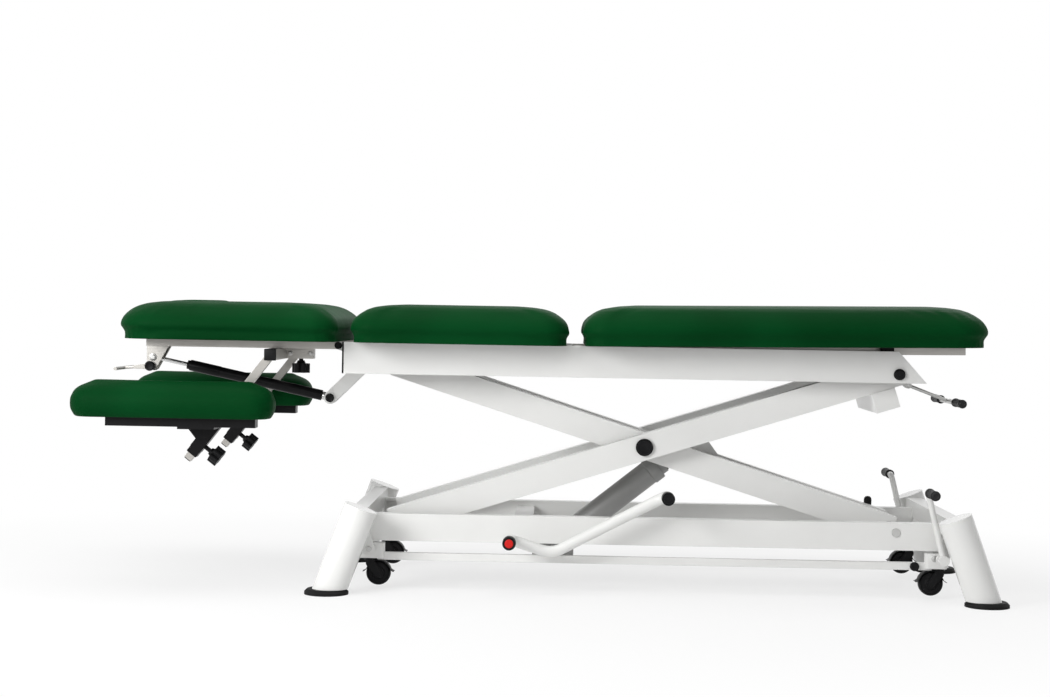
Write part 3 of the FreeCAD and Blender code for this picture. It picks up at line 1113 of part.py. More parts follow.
def castor(end):
    """Swivel fork with its axle, and the wheel, at one end of the base on the +Y side."""
    stem = point(BASE_X + end * STEM_X, BLOCK_Z0 - SEAT)
    hub = point(BASE_X + end * WHEEL_X, WHEEL_Z)
    leg_in = WHEEL_W / 2 + 2 * SEAT
    leg_out = leg_in + FORK_T
    crown = Part.makeCylinder(leg_out, CROWN_T, Vec(stem.x, 0, stem.z - CROWN_T))
    stem_bar = Part.makeCylinder(STEM_R, STEM_TOP_Z - stem.z + PAST, Vec(stem.x, 0, stem.z - PAST))
    shoulder = point(stem.x, stem.z - FORK_SHOULDER_R)
    leg = link(shoulder, hub, FORK_SHOULDER_R, WHEEL_AXLE_R * 2, leg_in, leg_out)
    axle = rod_y(hub.x, hub.z, WHEEL_AXLE_R, -leg_out, leg_out)
    bridge_x = stem.x - FORK_BRIDGE_L / 2
    bridge = box(bridge_x, bridge_x + FORK_BRIDGE_L, -leg_out, leg_out, stem.z - CROWN_T, stem.z)
    fork = fused(crown, stem_bar, bridge, axle, *pair(leg))
    half = WHEEL_W / 2
    outline = [(WHEEL_AXLE_R + FIT, -half)] + [(WHEEL_R * r, -half * y) for r, y in WHEEL_RIM]
    outline += [(r, -y) for r, y in reversed(outline)]
    corners = [Vec(hub.x + r, y, hub.z) for r, y in outline]
    face = Part.Face(Part.makePolygon(corners + corners[:1]))
    wheel = face.revolve(Vec(hub.x, 0, hub.z), Y_AXIS, 360)
    return fork, wheel


def castors():
    for end, end_name in ((-1, "head"), (1, "leg")):
        fork, wheel = castor(end)
        for side, side_name in ((-1, "near"), (1, "far")):
            place = Vec(0, side * BLOCK_Y, 0)
            node("%s_%s_castor_fork" % (end_name, side_name), [fork.translated(place)])
            node("%s_%s_castor_wheel" % (end_name, side_name), [wheel.translated(place)])


def main():
    os.makedirs("parts", exist_ok=True)
    base_rails()
    foot_posts()
    base_crossbeams()
    base_cross_member()
    base_pins()
    pump_unit()
    pump_pedal()
    inner_arms()
    outer_arms()
    roller_axle("upper_roller_axle", HIGH_PIVOT_Z)
    roller_axle("lower_roller_axle", LOW_PIVOT_Z)
    centre_pivot_bolts()
    hydraulic_ram()
    gas_springs()
    top_rails()
    top_cross_tubes()
    top_frame_pins()
    pads()
    head_frame()
    head_release_lever()
    leg_frame()
    leg_release_lever()
    arm_support()
    arm_rests()
    castor_shafts()
    castor_carriage()
    castors()


main()
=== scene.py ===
"""Treatment table on a scissor lift: finishes, upholstery, trim, camera and light over the fixed frame."""
import math

import bmesh
import bpy
from mathutils import Matrix, Vector


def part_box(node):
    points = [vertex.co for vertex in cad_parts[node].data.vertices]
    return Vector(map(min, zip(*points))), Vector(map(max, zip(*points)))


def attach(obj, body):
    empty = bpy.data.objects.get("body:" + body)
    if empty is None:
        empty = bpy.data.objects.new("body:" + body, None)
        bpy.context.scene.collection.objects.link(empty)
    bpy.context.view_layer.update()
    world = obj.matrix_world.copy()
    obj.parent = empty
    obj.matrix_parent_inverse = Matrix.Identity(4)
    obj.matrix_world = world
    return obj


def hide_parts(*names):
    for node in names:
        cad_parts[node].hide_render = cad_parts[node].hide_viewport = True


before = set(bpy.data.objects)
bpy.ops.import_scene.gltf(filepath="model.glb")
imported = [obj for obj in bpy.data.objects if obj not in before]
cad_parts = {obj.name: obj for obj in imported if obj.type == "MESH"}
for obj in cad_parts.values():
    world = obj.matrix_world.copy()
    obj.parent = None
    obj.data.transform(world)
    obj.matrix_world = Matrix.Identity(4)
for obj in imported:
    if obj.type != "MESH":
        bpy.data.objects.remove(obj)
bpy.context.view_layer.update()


class Shade:
    """A shader value that takes part in arithmetic. Each operation adds its Math node."""

    def __init__(self, finish, socket):
        self.finish = finish
        self.socket = socket

    def math(self, operation, *values):
        return self.finish.node("ShaderNodeMath", {"operation": operation}, dict(enumerate((self, *values))))

    def __add__(self, other):
        return self.math("ADD", other)

    def __mul__(self, other):
        return self.math("MULTIPLY", other)

    def __sub__(self, other):
        return self.math("SUBTRACT", other)

    def __rsub__(self, other):
        return self.finish.node("ShaderNodeMath", {"operation": "SUBTRACT"}, {0: other, 1: self})

    __radd__ = __add__
    __rmul__ = __mul__

    def between(self, low, high):
        """0 below low, 1 above high, smooth between."""
        return self.finish.node("ShaderNodeMapRange", {"interpolation_type": "SMOOTHSTEP"},
                                {"Value": self, "From Min": low, "From Max": high})


class Finish:
    """One material of the table."""

    def __init__(self, name):
        self.material = bpy.data.materials.new(name)
        self.material.use_nodes = True
        self.tree = self.material.node_tree
        self.surface = self.tree.nodes["Principled BSDF"]
        self.place = self.node("ShaderNodeTexCoord", out="Object")

    def node(self, kind, settings=None, inputs=None, out=0):
        """Add a node: its settings first, then the values or links of its sockets."""
        made = self.tree.nodes.new(kind)
        for key, value in (settings or {}).items():
            setattr(made, key, value)
        for key, value in (inputs or {}).items():
            self.give(made.inputs[key], value)
        return Shade(self, made.outputs[out])

    def give(self, socket, value):
        if isinstance(value, Shade):
            self.tree.links.new(value.socket, socket)
        else:
            socket.default_value = value

    def set(self, **values):
        """Set sockets of the surface shader: base_color is Base Color."""
        for key, value in values.items():
            self.give(self.surface.inputs[key.replace("_", " ").title().replace("Ior", "IOR")], value)
        return self

    def noise(self, scale, detail=3.0, roughness=0.55, where=None):
        inputs = {"Vector": where or self.place, "Scale": scale, "Detail": detail, "Roughness": roughness}
        return self.node("ShaderNodeTexNoise", None, inputs)

    def stretched(self, x, y, z):
        """Object coordinates scaled along each axis."""
        return self.node("ShaderNodeMapping", None, {"Vector": self.place, "Scale": (x, y, z)})

    def along(self, axis):
        return self.node("ShaderNodeSeparateXYZ", None, {"Vector": self.place}, out=axis)

    def facing(self, axis):
        """Part of the surface's own direction along an axis of the table."""
        normal = self.node("ShaderNodeNewGeometry", out="Normal")
        return self.node("ShaderNodeSeparateXYZ", None, {"Vector": normal}, out=axis)

    def mix(self, share, first, second):
        """Colour between two colours."""
        settings = {"data_type": "RGBA", "clamp_factor": True}
        return self.node("ShaderNodeMix", settings, {0: share, 6: first, 7: second}, out=2)

    def relief(self, height, depth, under=None):
        """Surface direction with the height added, depth in metres."""
        inputs = {"Height": height, "Distance": depth, "Strength": 1.0}
        if under:
            inputs["Normal"] = under
        return self.node("ShaderNodeBump", None, inputs)

    def soft_edges(self, radius):
        """Rounds the look of sharp edges."""
        return self.node("ShaderNodeBevel", {"samples": 4}, {"Radius": radius})


def rgb(r, g, b):
    return (r, g, b, 1.0)


def leatherette(name, deep, light):
    """Upholstery vinyl: fine pebble grain, faint pulls and a dull sheen, with dark lining cloth underneath."""
    finish = Finish(name)
    grain = finish.node("ShaderNodeTexVoronoi", {"feature": "SMOOTH_F1"},
                        {"Vector": finish.place, "Scale": 620.0, "Smoothness": 0.6})
    pores = finish.noise(1500.0, 2.0)
    pulls = finish.noise(9.0, 2.0, where=finish.stretched(0.6, 1.6, 1.0))
    tone = finish.noise(3.5, 2.0).between(0.3, 0.7)
    weave = {"Vector": finish.stretched(420.0, 420.0, 420.0), "Scale": 1.0, "Mortar Size": 0.08}
    thread = finish.node("ShaderNodeTexBrick", {"offset": 0.5}, weave, out="Fac")
    under = (finish.facing("Z") * -1).between(0.93, 0.99)
    lining = finish.mix(finish.noise(60.0, 4.0), rgb(0.012, 0.012, 0.013), rgb(0.03, 0.03, 0.032))
    vinyl = finish.mix(tone * 0.7 + grain * 0.25, rgb(*deep), rgb(*light))
    height = grain * 0.8 + pores * 0.25 + thread * under * 0.6
    finish.set(base_color=finish.mix(under, vinyl, lining),
               roughness=pulls * 0.10 + pores * 0.07 + under * 0.25 + 0.46,
               normal=finish.relief(height, 0.00022, finish.relief(pulls, 0.0022)),
               specular_ior_level=0.025)
    return finish.material


def powder_coat(name, colour, shaded, gloss, edge=0.0012, coat=0.25):
    """Powder-coated steel: orange peel, faint dust low down and rubbed patches."""
    finish = Finish(name)
    peel = finish.noise(420.0, 2.0)
    cloud = finish.noise(5.0, 3.0).between(0.35, 0.75)
    scuff = finish.noise(38.0, 5.0, 0.7, finish.stretched(0.35, 1.0, 1.0)).between(0.63, 0.74)
    low = 1 - finish.along("Z").between(0.02, 0.16)
    worn = scuff * (low * 0.35 + 0.10)
    tint = finish.mix(cloud * 0.35 + worn, rgb(*colour), rgb(*shaded))
    finish.set(base_color=tint, roughness=peel * 0.06 + worn * 0.25 + gloss, metallic=0.0,
               normal=finish.relief(peel, 0.00007, finish.soft_edges(edge)), coat_weight=coat,
               coat_roughness=0.18, specular_ior_level=min(0.5, 2 * coat))
    return finish.material


def brushed_tube(name, colour, shaded, rough, stretch):
    """Bare or silvered steel tube, drawn lengthwise."""
    finish = Finish(name)
    draw = finish.noise(240.0, 3.0, where=finish.stretched(*stretch))
    cloud = finish.noise(11.0, 3.0).between(0.3, 0.7)
    spots = finish.noise(160.0, 4.0, 0.7).between(0.66, 0.76)
    finish.set(base_color=finish.mix(draw * 0.45 + cloud * 0.35, rgb(*colour), rgb(*shaded)),
               roughness=draw * 0.16 + spots * 0.15 + rough, metallic=0.9,
               normal=finish.relief(draw, 0.00005, finish.soft_edges(0.001)))
    return finish.material


def moulded(name, colour, lighter, rough, grain_scale, depth):
    """Moulded plastic or rubber with a sparked grain."""
    finish = Finish(name)
    grain = finish.noise(grain_scale, 2.0)
    cloud = finish.noise(30.0, 3.0).between(0.35, 0.7)
    finish.set(base_color=finish.mix(cloud * 0.6 + grain * 0.3, rgb(*colour), rgb(*lighter)),
               roughness=grain * 0.12 + rough,
               normal=finish.relief(grain, depth, finish.soft_edges(0.0008)), specular_ior_level=0.11)
    return finish.material


def ribbed_grip(name, colour, lighter):
    """Black grip sleeve with fine rings around it."""
    finish = Finish(name)
    bands = {"wave_type": "BANDS", "bands_direction": "Y", "wave_profile": "SIN"}
    rings = finish.node("ShaderNodeTexWave", bands, {"Vector": finish.place, "Scale": 55.0})
    grain = finish.noise(900.0, 2.0)
    finish.set(base_color=finish.mix(rings * 0.5 + grain * 0.2, rgb(*colour), rgb(*lighter)),
               roughness=grain * 0.15 + 0.48,
               normal=finish.relief(rings, 0.0005, finish.relief(grain, 0.00008)), specular_ior_level=0.22)
    return finish.material


def finishes():
    """Every finish of the table by name."""
    green_deep = (0.0006, 0.032, 0.0064)
    green_light = (0.0012, 0.050, 0.0112)
    return {
        "green": leatherette("green_leatherette", green_deep, green_light),
        "white": powder_coat("white_powder_coat", (0.80, 0.80, 0.785), (0.70, 0.70, 0.685), 0.30),
        "gloss": powder_coat("gloss_white_coat", (0.80, 0.80, 0.785), (0.74, 0.74, 0.725), 0.12, coat=0.45),
        "grey": powder_coat("grey_ram_paint", (0.33, 0.33, 0.325), (0.25, 0.25, 0.245), 0.34),
        "black_coat": powder_coat("black_coat", (0.005, 0.005, 0.0055), (0.010, 0.010, 0.011), 0.32,
                                  edge=0.0008, coat=0.05),
        "silver": brushed_tube("silver_tube", (0.47, 0.455, 0.43), (0.34, 0.33, 0.31), 0.26, (0.04, 1.0, 1.0)),
        "steel": brushed_tube("turned_steel", (0.55, 0.55, 0.54), (0.40, 0.40, 0.39), 0.26, (1.0, 0.05, 1.0)),
        "chrome": brushed_tube("rod_chrome", (0.66, 0.66, 0.66), (0.58, 0.58, 0.58), 0.08, (0.05, 1.0, 1.0)),
        "black": moulded("black_plastic", (0.005, 0.005, 0.0055), (0.013, 0.013, 0.014), 0.38, 700.0, 0.00008),
        "rubber": moulded("black_rubber", (0.008, 0.008, 0.008), (0.018, 0.018, 0.018), 0.62, 320.0, 0.0002),
        "red": moulded("red_plastic", (0.55, 0.012, 0.012), (0.62, 0.025, 0.02), 0.34, 700.0, 0.00008),
        "grip": ribbed_grip("ribbed_grip", (0.008, 0.008, 0.009), (0.022, 0.022, 0.023)),
    }


def pick(*pieces):
    """Select only these objects, the first one active."""
    bpy.ops.object.select_all(action="DESELECT")
    for piece in pieces:
        piece.select_set(True)
    bpy.context.view_layer.objects.active = pieces[0]


def add_modifier(piece, kind, **settings):
    """Add a modifier and apply it."""
    pick(piece)
    modifier = piece.modifiers.new(kind.lower(), kind)
    for key, value in settings.items():
        setattr(modifier, key, value)
    bpy.ops.object.modifier_apply(modifier=modifier.name)


def copy_of_node(node, name):
    """A merged copy of a CAD node's mesh as a new piece."""
    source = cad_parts[node]
    piece = bpy.data.objects.new(name, source.data.copy())
    bpy.context.scene.collection.objects.link(piece)
    pick(piece)
    bpy.ops.object.mode_set(mode="EDIT")
    bpy.ops.mesh.select_all(action="SELECT")
    bpy.ops.mesh.remove_doubles(threshold=0.00005)
    bpy.ops.object.mode_set(mode="OBJECT")
    return piece


def finish_piece(piece, body, material, slot, *nodes):
    """Give a piece its material and body, and hide the CAD nodes that it stands for. The slot is not used."""
    piece.data.materials.clear()
    piece.data.materials.append(material)
    if nodes:
        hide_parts(*nodes)
    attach(piece, body)


def turned(name, at, axis, steps, hollow=False, sides=32):
    """Turned piece: a disc or ring drawn out along an axis. steps: distance from the point, radius there."""
    at, axis = Vector(at), Vector(axis).normalized()
    reach, radius = steps[0]
    bpy.ops.object.select_all(action="DESELECT")
    bpy.ops.mesh.primitive_circle_add(vertices=sides, radius=radius, fill_type="NOTHING" if hollow else "NGON",
                                      location=at + axis * reach,
                                      rotation=axis.to_track_quat("Z", "Y").to_euler())
    piece = bpy.context.object
    piece.name = name
    bpy.ops.object.transform_apply(location=True, rotation=True, scale=True)
    bpy.ops.object.mode_set(mode="EDIT")
    bpy.ops.mesh.select_all(action="SELECT")
    for distance, wide in steps[1:]:
        bpy.ops.mesh.extrude_region_move(TRANSFORM_OT_translate={"value": axis * (distance - reach)})
        bpy.ops.transform.resize(value=(wide / radius,) * 3, center_override=at + axis * distance)
        reach, radius = distance, wide
    return close_up(piece)


def close_up(piece, angle=35):
    """Merge doubled points, turn the faces outwards and smooth the rounds. Ends edit mode."""
    bpy.ops.mesh.select_all(action="SELECT")
    bpy.ops.mesh.remove_doubles(threshold=0.00001)
    bpy.ops.mesh.normals_make_consistent(inside=False)
    bpy.ops.object.mode_set(mode="OBJECT")
    pick(piece)
    bpy.ops.object.shade_smooth_by_angle(angle=math.radians(angle))
    return piece


def block(name, low, high, edge, turn=0.0):
    """Block between two corners with bevelled edges, tipped about its middle by turn, about +Y."""
    low, high = Vector(low), Vector(high)
    bpy.ops.object.select_all(action="DESELECT")
    bpy.ops.mesh.primitive_cube_add(size=1.0, location=(low + high) / 2, scale=high - low,
                                    rotation=(0, turn, 0))
    piece = bpy.context.object
    piece.name = name
    bpy.ops.object.transform_apply(location=True, rotation=True, scale=True)
    bpy.ops.object.mode_set(mode="EDIT")
    bpy.ops.mesh.select_all(action="SELECT")
    bpy.ops.mesh.bevel(offset=edge, segments=3, affect="EDGES")
    return close_up(piece)


def twin(piece, name, across=False):
    """Copy of a piece with its own mesh, as it is or mirrored to the other side of the table."""
    mesh = piece.data.copy()
    if across:
        mesh.transform(Matrix.Scale(-1, 4, (0, 1, 0)))
        mesh.flip_normals()
    made = bpy.data.objects.new(name, mesh)
    bpy.context.scene.collection.objects.link(made)
    return made


def both_sides(piece, body, material, slot):
    """Finish a piece and its mirror image. A body named with near_ has its twin on the far side."""
    far = twin(piece, piece.name + "_far", across=True)
    finish_piece(piece, body, material, slot)
    finish_piece(far, body.replace("near_", "far_"), material, slot)


def dome(root, out, radius):
    """Steps of a low domed cap: from the seat, out past it, rounded at the rim."""
    return [(root, radius), (root + out * 0.6, radius), (root + out * 0.85, radius * 0.93),
            (root + out, radius * 0.8), (root + out, radius * 0.62),
            (root + out * 0.9, radius * 0.5), (root + out * 0.9, radius * 0.2)]


def hex_bolt(name, at, axis, radius, height):
    """Hexagon head on a washer, its top corners eased."""
    steps = [(0, radius * 1.4), (height * 0.25, radius * 1.4), (height * 0.3, radius * 1.3)]
    washer = turned(name + "_washer", at, axis, steps)
    steps = [(height * 0.3, radius), (height * 0.9, radius), (height, radius * 0.85)]
    head = turned(name, at, axis, steps, sides=6)
    pick(head, washer)
    bpy.ops.object.join()
    return bpy.context.object


VOXEL = 0.006           # mesh size of the pads' covers
SHRINK = 0.0035         # the pads start this much smaller, and the filling swells them out
FILL_STEPS = 20
TUCKS = 7               # vinyl tucks round each lower corner
TUCK_DEPTH = 0.0011
TUCK_HIGH = 0.42        # share of the pad's height where the tucks have run out
TUCK_START = 0.55       # share of the corner's radius where they begin
LEG_SLOPE = math.tan(math.radians(0.75))    # rise of the leg pad's underside at rest
RIM_HIGH = 0.020        # the cover is drawn in below this height over the board's underside
RIM_FILL = 0.0030       # and stands this much out from the board's rim
RIM_WALL = 0.3          # sideways part of the normal, from which a point is on the rim
HOLE_WALL = 0.6         # and on the wall of the face hole
HINGE_CORNER = 0.062    # corner radius of a pad at a hinge, in plan
END_CORNER = 0.095      # and at the table's ends
ARM_CORNER = 0.052
PLUG_CORNER = 0.045
PAD_CAP = 0.0035        # furthest that a point of a pad moves as it fills
PLUG_CAP = 0.003
FACE_HOLE = (-0.828, 0.096, 0.060)  # box round it: middle along the table, half length, half width


def swell(pad, held, cap):
    """Fill a pad by cloth pressure. Held points stay, and no point moves further than the cap."""
    scene = bpy.context.scene
    group = pad.vertex_groups.new(name="held")
    group.add(held, 1.0, "REPLACE")
    start = [v.co.copy() for v in pad.data.vertices]
    cloth = pad.modifiers.new("filling", "CLOTH")
    cloth.settings.quality = 4
    cloth.settings.mass = 0.3
    cloth.settings.use_pressure = True
    cloth.settings.uniform_pressure_force = 4.0
    cloth.settings.vertex_group_mass = group.name
    cloth.settings.tension_stiffness = 12.0
    cloth.settings.compression_stiffness = 12.0
    cloth.settings.effector_weights.gravity = 0.0
    cloth.collision_settings.use_collision = False
    cloth.point_cache.frame_start = 1
    cloth.point_cache.frame_end = FILL_STEPS
    for step in range(1, FILL_STEPS + 1):
        scene.frame_set(step)
    filled = pad.evaluated_get(bpy.context.evaluated_depsgraph_get())
    moved = [v.co.copy() for v in filled.data.vertices]
    pad.modifiers.remove(cloth)
    pad.vertex_groups.remove(group)
    scene.frame_set(1)
    for vertex, before, after in zip(pad.data.vertices, start, moved):
        shift = after - before
        if shift.length > cap:
            shift *= cap / shift.length
        vertex.co = before + shift


def tuck_corners(pad, low, high, radii, slope):
    """Small radial tucks where the vinyl is pulled round the lower corners."""
    for x_end, radius in ((low.x, radii[0]), (high.x, radii[1])):
        inward = 1 if x_end == low.x else -1
        for y_end, toward in ((low.y, 1), (high.y, -1)):
            centre = Vector((x_end + inward * radius, y_end + toward * radius))
            for vertex in pad.data.vertices:
                out = Vector((vertex.co.x, vertex.co.y)) - centre
                if out.x * inward > 0 or out.y * toward > 0 or out.length < radius * TUCK_START:
                    continue
                share = (vertex.co.z - low.z - slope * (vertex.co.x - low.x)) / (high.z - low.z)
                fade = max(0.0, 1 - share / TUCK_HIGH)
                angle = math.atan2(abs(out.y), abs(out.x)) / (math.pi / 2)
                edge = math.sin(math.pi * angle)
                wave = math.cos(2 * math.pi * TUCKS * angle) * TUCK_DEPTH * fade * fade * edge
                out.normalize()
                vertex.co.x += out.x * wave
                vertex.co.y += out.y * wave


def smooth_rim(pad, low, slope):
    """Even out the fold between a pad's foam and the board's rim."""
    group = pad.vertex_groups.new(name="rim")
    for vertex in pad.data.vertices:
        rise = vertex.co.z - low.z - slope * (vertex.co.x - low.x)
        if VOXEL / 2 < rise < RIM_HIGH + VOXEL:
            group.add([vertex.index], 1.0, "REPLACE")
    add_modifier(pad, "SMOOTH", factor=0.5, iterations=5, vertex_group=group.name)
    pad.vertex_groups.clear()


def upholstered_pad(nodes, body, material, radii, cap, hole=None, slope=0.0):
    """Foam pad in vinyl, crowned above and flat below. With a board, the cover is drawn round its rim."""
    boxes = [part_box(node) for node in nodes]
    low = Vector([min(box[0][axis] for box in boxes) for axis in range(3)])
    high = Vector([max(box[1][axis] for box in boxes) for axis in range(3)])
    pad = copy_of_node(nodes[0], nodes[0] + "_cover")
    rim = 0.0
    if len(nodes) > 1:
        pick(pad, copy_of_node(nodes[1], nodes[1] + "_wrap"))
        bpy.ops.object.join()
        rim = RIM_HIGH
    add_modifier(pad, "REMESH", mode="VOXEL", voxel_size=VOXEL, use_smooth_shade=True)
    add_modifier(pad, "DISPLACE", strength=-SHRINK, mid_level=0.0, direction="NORMAL")
    held = []
    sides = [Vector((vertex.normal.x, vertex.normal.y, 0)) for vertex in pad.data.vertices]
    for vertex, side in zip(pad.data.vertices, sides):
        rise = vertex.co.z - low.z - slope * (vertex.co.x - low.x)
        at_hole = hole and abs(vertex.co.x - hole[0]) < hole[1] and abs(vertex.co.y) < hole[2]
        if at_hole and side.length > HOLE_WALL:
            vertex.co += side.normalized() * SHRINK
        elif rise < rim and side.length > RIM_WALL:
            vertex.co += side.normalized() * RIM_FILL * (1 - max(rise, 0) / rim)
        if rise < SHRINK + VOXEL / 2:
            vertex.co.z -= rise
        if at_hole or rise < SHRINK + VOXEL / 2 or rise < rim / 2:
            held.append(vertex.index)
    if rim:
        smooth_rim(pad, low, slope)
    swell(pad, held, cap)
    add_modifier(pad, "SMOOTH", factor=0.5, iterations=2)
    tuck_corners(pad, low, high, radii, slope)
    add_modifier(pad, "SUBSURF", levels=1, render_levels=1)
    pick(pad)
    bpy.ops.object.shade_smooth()
    finish_piece(pad, body, material, "green_leatherette", *nodes)


def upholstery(finish):
    """The three lying pads, the arm pads and the plug of the face hole."""
    green = finish["green"]
    upholstered_pad(("head_pad", "head_board"), "head_section", green, (END_CORNER, HINGE_CORNER), PAD_CAP,
                    hole=FACE_HOLE)
    upholstered_pad(("centre_pad", "centre_board"), "top_frame", green, (HINGE_CORNER, HINGE_CORNER), PAD_CAP)
    upholstered_pad(("leg_pad", "leg_board"), "leg_section", green, (HINGE_CORNER, END_CORNER), PAD_CAP,
                    slope=LEG_SLOPE)
    for side in ("near", "far"):
        upholstered_pad((side + "_arm_pad",), side + "_arm_rest", green, (ARM_CORNER, ARM_CORNER), PAD_CAP)
    upholstered_pad(("face_plug",), "face_plug", green, (PLUG_CORNER, PLUG_CORNER), PLUG_CAP)


NEAR = Vector((0, -1, 0))

# Pivots of the table at rest, in its middle plane.
HEAD_HINGE = Vector((-0.470, 0, 0.553))
HEAD_SPRING_FOOT = Vector((-0.505, 0, 0.426))
HEAD_SPRING_EYE = Vector((-0.928, 0, 0.515))
LEG_SPRING_FOOT = Vector((0.205, 0, 0.508))
LEG_SPRING_EYE = Vector((0.50545, 0, 0.52163))
HEAD_LEVER_PIVOT = Vector((-0.934, 0, 0.494))
TOP_PIVOT = Vector((0.810, 0, 0.510))
CENTRE_PIVOT = Vector((0.23764, 0, 0.330))
RAM_FOOT = Vector((0.053, 0, 0.100))
RAM_EYE = Vector((0.3615, 0, 0.3459))
PEDAL_HEAD_PEG = Vector((-0.066, 0, 0.125))
PEDAL_LEG_PEG = Vector((0.284, 0, 0.230))
CASTOR_BAR_BOLT = Vector((0.853, 0, 0.0745))

# Near side of the table: the arm post's lower end and direction, the clamp and the castors.
POST_TIP = Vector((-0.799, -0.240, 0.292))
POST_RUN = Vector((-186.0, 0, -239.5)).normalized()
POST_TILT = math.atan2(-POST_RUN.x, -POST_RUN.z)
SLEEVE_BACK = 0.0295    # from a post's lower end up to the root of its sleeve's collar
CLAMP_FACE = -0.0800    # near face of the arm tube's clamp
CLAMP_Z = 0.5315
LEG_WHEEL = Vector((0.891, -0.192, 0.036))
HEAD_WHEEL_X = -0.367
CRANK_FACE = -0.2124    # near face of the castor shafts' cranks
CRANK_Z = 0.094
HOOD_RADIUS = 0.0294
HOOD_WIDE = 0.0310
HOOD_CUT = 0.008        # lower edge of a hood over the wheel's hub


def top_trim(finish):
    """Caps on the head hinge and the gas spring feet, and the lipped covers of the scissor's pivots."""
    black = finish["black"]
    cap = turned("head_hinge_cap", HEAD_HINGE, NEAR, dome(0.170, 0.009, 0.0085))
    both_sides(cap, "top_frame", black, "black_plastic")
    for end, foot in (("head", HEAD_SPRING_FOOT), ("leg", LEG_SPRING_FOOT)):
        cap = turned(end + "_spring_foot_cap", foot, NEAR, dome(0.0244, 0.005, 0.0105))
        both_sides(cap, "top_frame", black, "black_plastic")
    lip = [(0.2091, 0.0100), (0.2098, 0.0092), (0.2098, 0.0070), (0.2091, 0.0066), (0.2091, 0.0100)]
    ring = turned("top_pivot_lip", TOP_PIVOT, NEAR, lip, hollow=True)
    both_sides(ring, "top_frame", black, "black_plastic")
    lip = [(0.1515, 0.0170), (0.1525, 0.0160), (0.1525, 0.0125), (0.1515, 0.0115), (0.1515, 0.0170)]
    ring = turned("centre_pivot_lip", CENTRE_PIVOT, NEAR, lip, hollow=True)
    both_sides(ring, "inner_arms", black, "black_plastic")


def head_trim(finish):
    """Bolts and caps of the head section, the plugs of its tubes and the ends of the posts' sleeves."""
    black, steel = finish["black"], finish["steel"]
    bolt = hex_bolt("rod_eye_bolt", HEAD_SPRING_EYE + NEAR * 0.0194, NEAR, 0.0062, 0.0058)
    both_sides(bolt, "head_section", steel, "silver_steel")
    cap = turned("lever_pivot_cap", HEAD_LEVER_PIVOT, NEAR, dome(0.0262, 0.0085, 0.0118))
    both_sides(cap, "head_section", black, "black_plastic")
    plug = block("arm_tube_cap", (-0.6265, -0.2665, 0.5180), (-0.5995, -0.2600, 0.5440), 0.0016)
    both_sides(plug, "head_section", black, "black_plastic")
    tip = POST_TIP + POST_RUN * 0.0005
    half = Vector((0.0082, 0.0082, 0.0016))
    plug = block("post_plug", tip - half, tip + half, 0.0012, POST_TILT)
    both_sides(plug, "head_section", black, "black_plastic")
    for name, x in (("arm_clamp", -0.5930), ("arm_clamp_front", -0.5455)):
        bolt = hex_bolt(name + "_bolt", Vector((x, CLAMP_FACE, CLAMP_Z)), NEAR, 0.0042, 0.0045)
        finish_piece(bolt, "head_section", steel, "silver_steel")
    mouth = tip - POST_RUN * SLEEVE_BACK
    collar = [(0, 0.0133), (0, 0.0186), (0.0135, 0.0186), (0.0150, 0.0172), (0.0150, 0.0133), (0, 0.0133)]
    collar = turned("near_sleeve_end", mouth, POST_RUN, collar, hollow=True, sides=4)
    turn = Matrix.Rotation(math.pi / 4, 4, POST_RUN)
    collar.data.transform(Matrix.Translation(mouth) @ turn @ Matrix.Translation(-mouth))
    both_sides(collar, "near_arm_rest", finish["black_coat"], "black_paint")


def lever_grips(node, body, finish, radius, length):
    """Pair of slim grip sleeves with a collar at the root and a rounded end, on a lever's cross bar."""
    low, high = (Vector(corner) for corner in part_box(node))
    end, root = high.y, high.y - length
    steps = [(root, radius * 0.85), (root + 0.001, radius), (root + 0.006, radius),
             (root + 0.008, radius * 0.9), (end - 0.010, radius * 0.92), (end - 0.006, radius),
             (end - 0.003, radius * 0.97), (end - 0.001, radius * 0.82), (end, radius * 0.55),
             (end - 0.0008, radius * 0.4)]
    grip = turned(node + "_sleeves", ((low.x + high.x) / 2, 0, (low.z + high.z) / 2), NEAR, steps)
    pick(grip, twin(grip, node + "_far", across=True))
    bpy.ops.object.join()
    finish_piece(grip, body, finish["grip"], "black_plastic", node)


def lever_trim(finish):
    """Grips of the leg section's release lever and of the castor levers."""
    lever_grips("leg_lever_grips", "leg_release_lever", finish, 0.0102, 0.084)
    lever_grips("castor_lever_grips", "leg_castor_shaft", finish, 0.0113, 0.072)


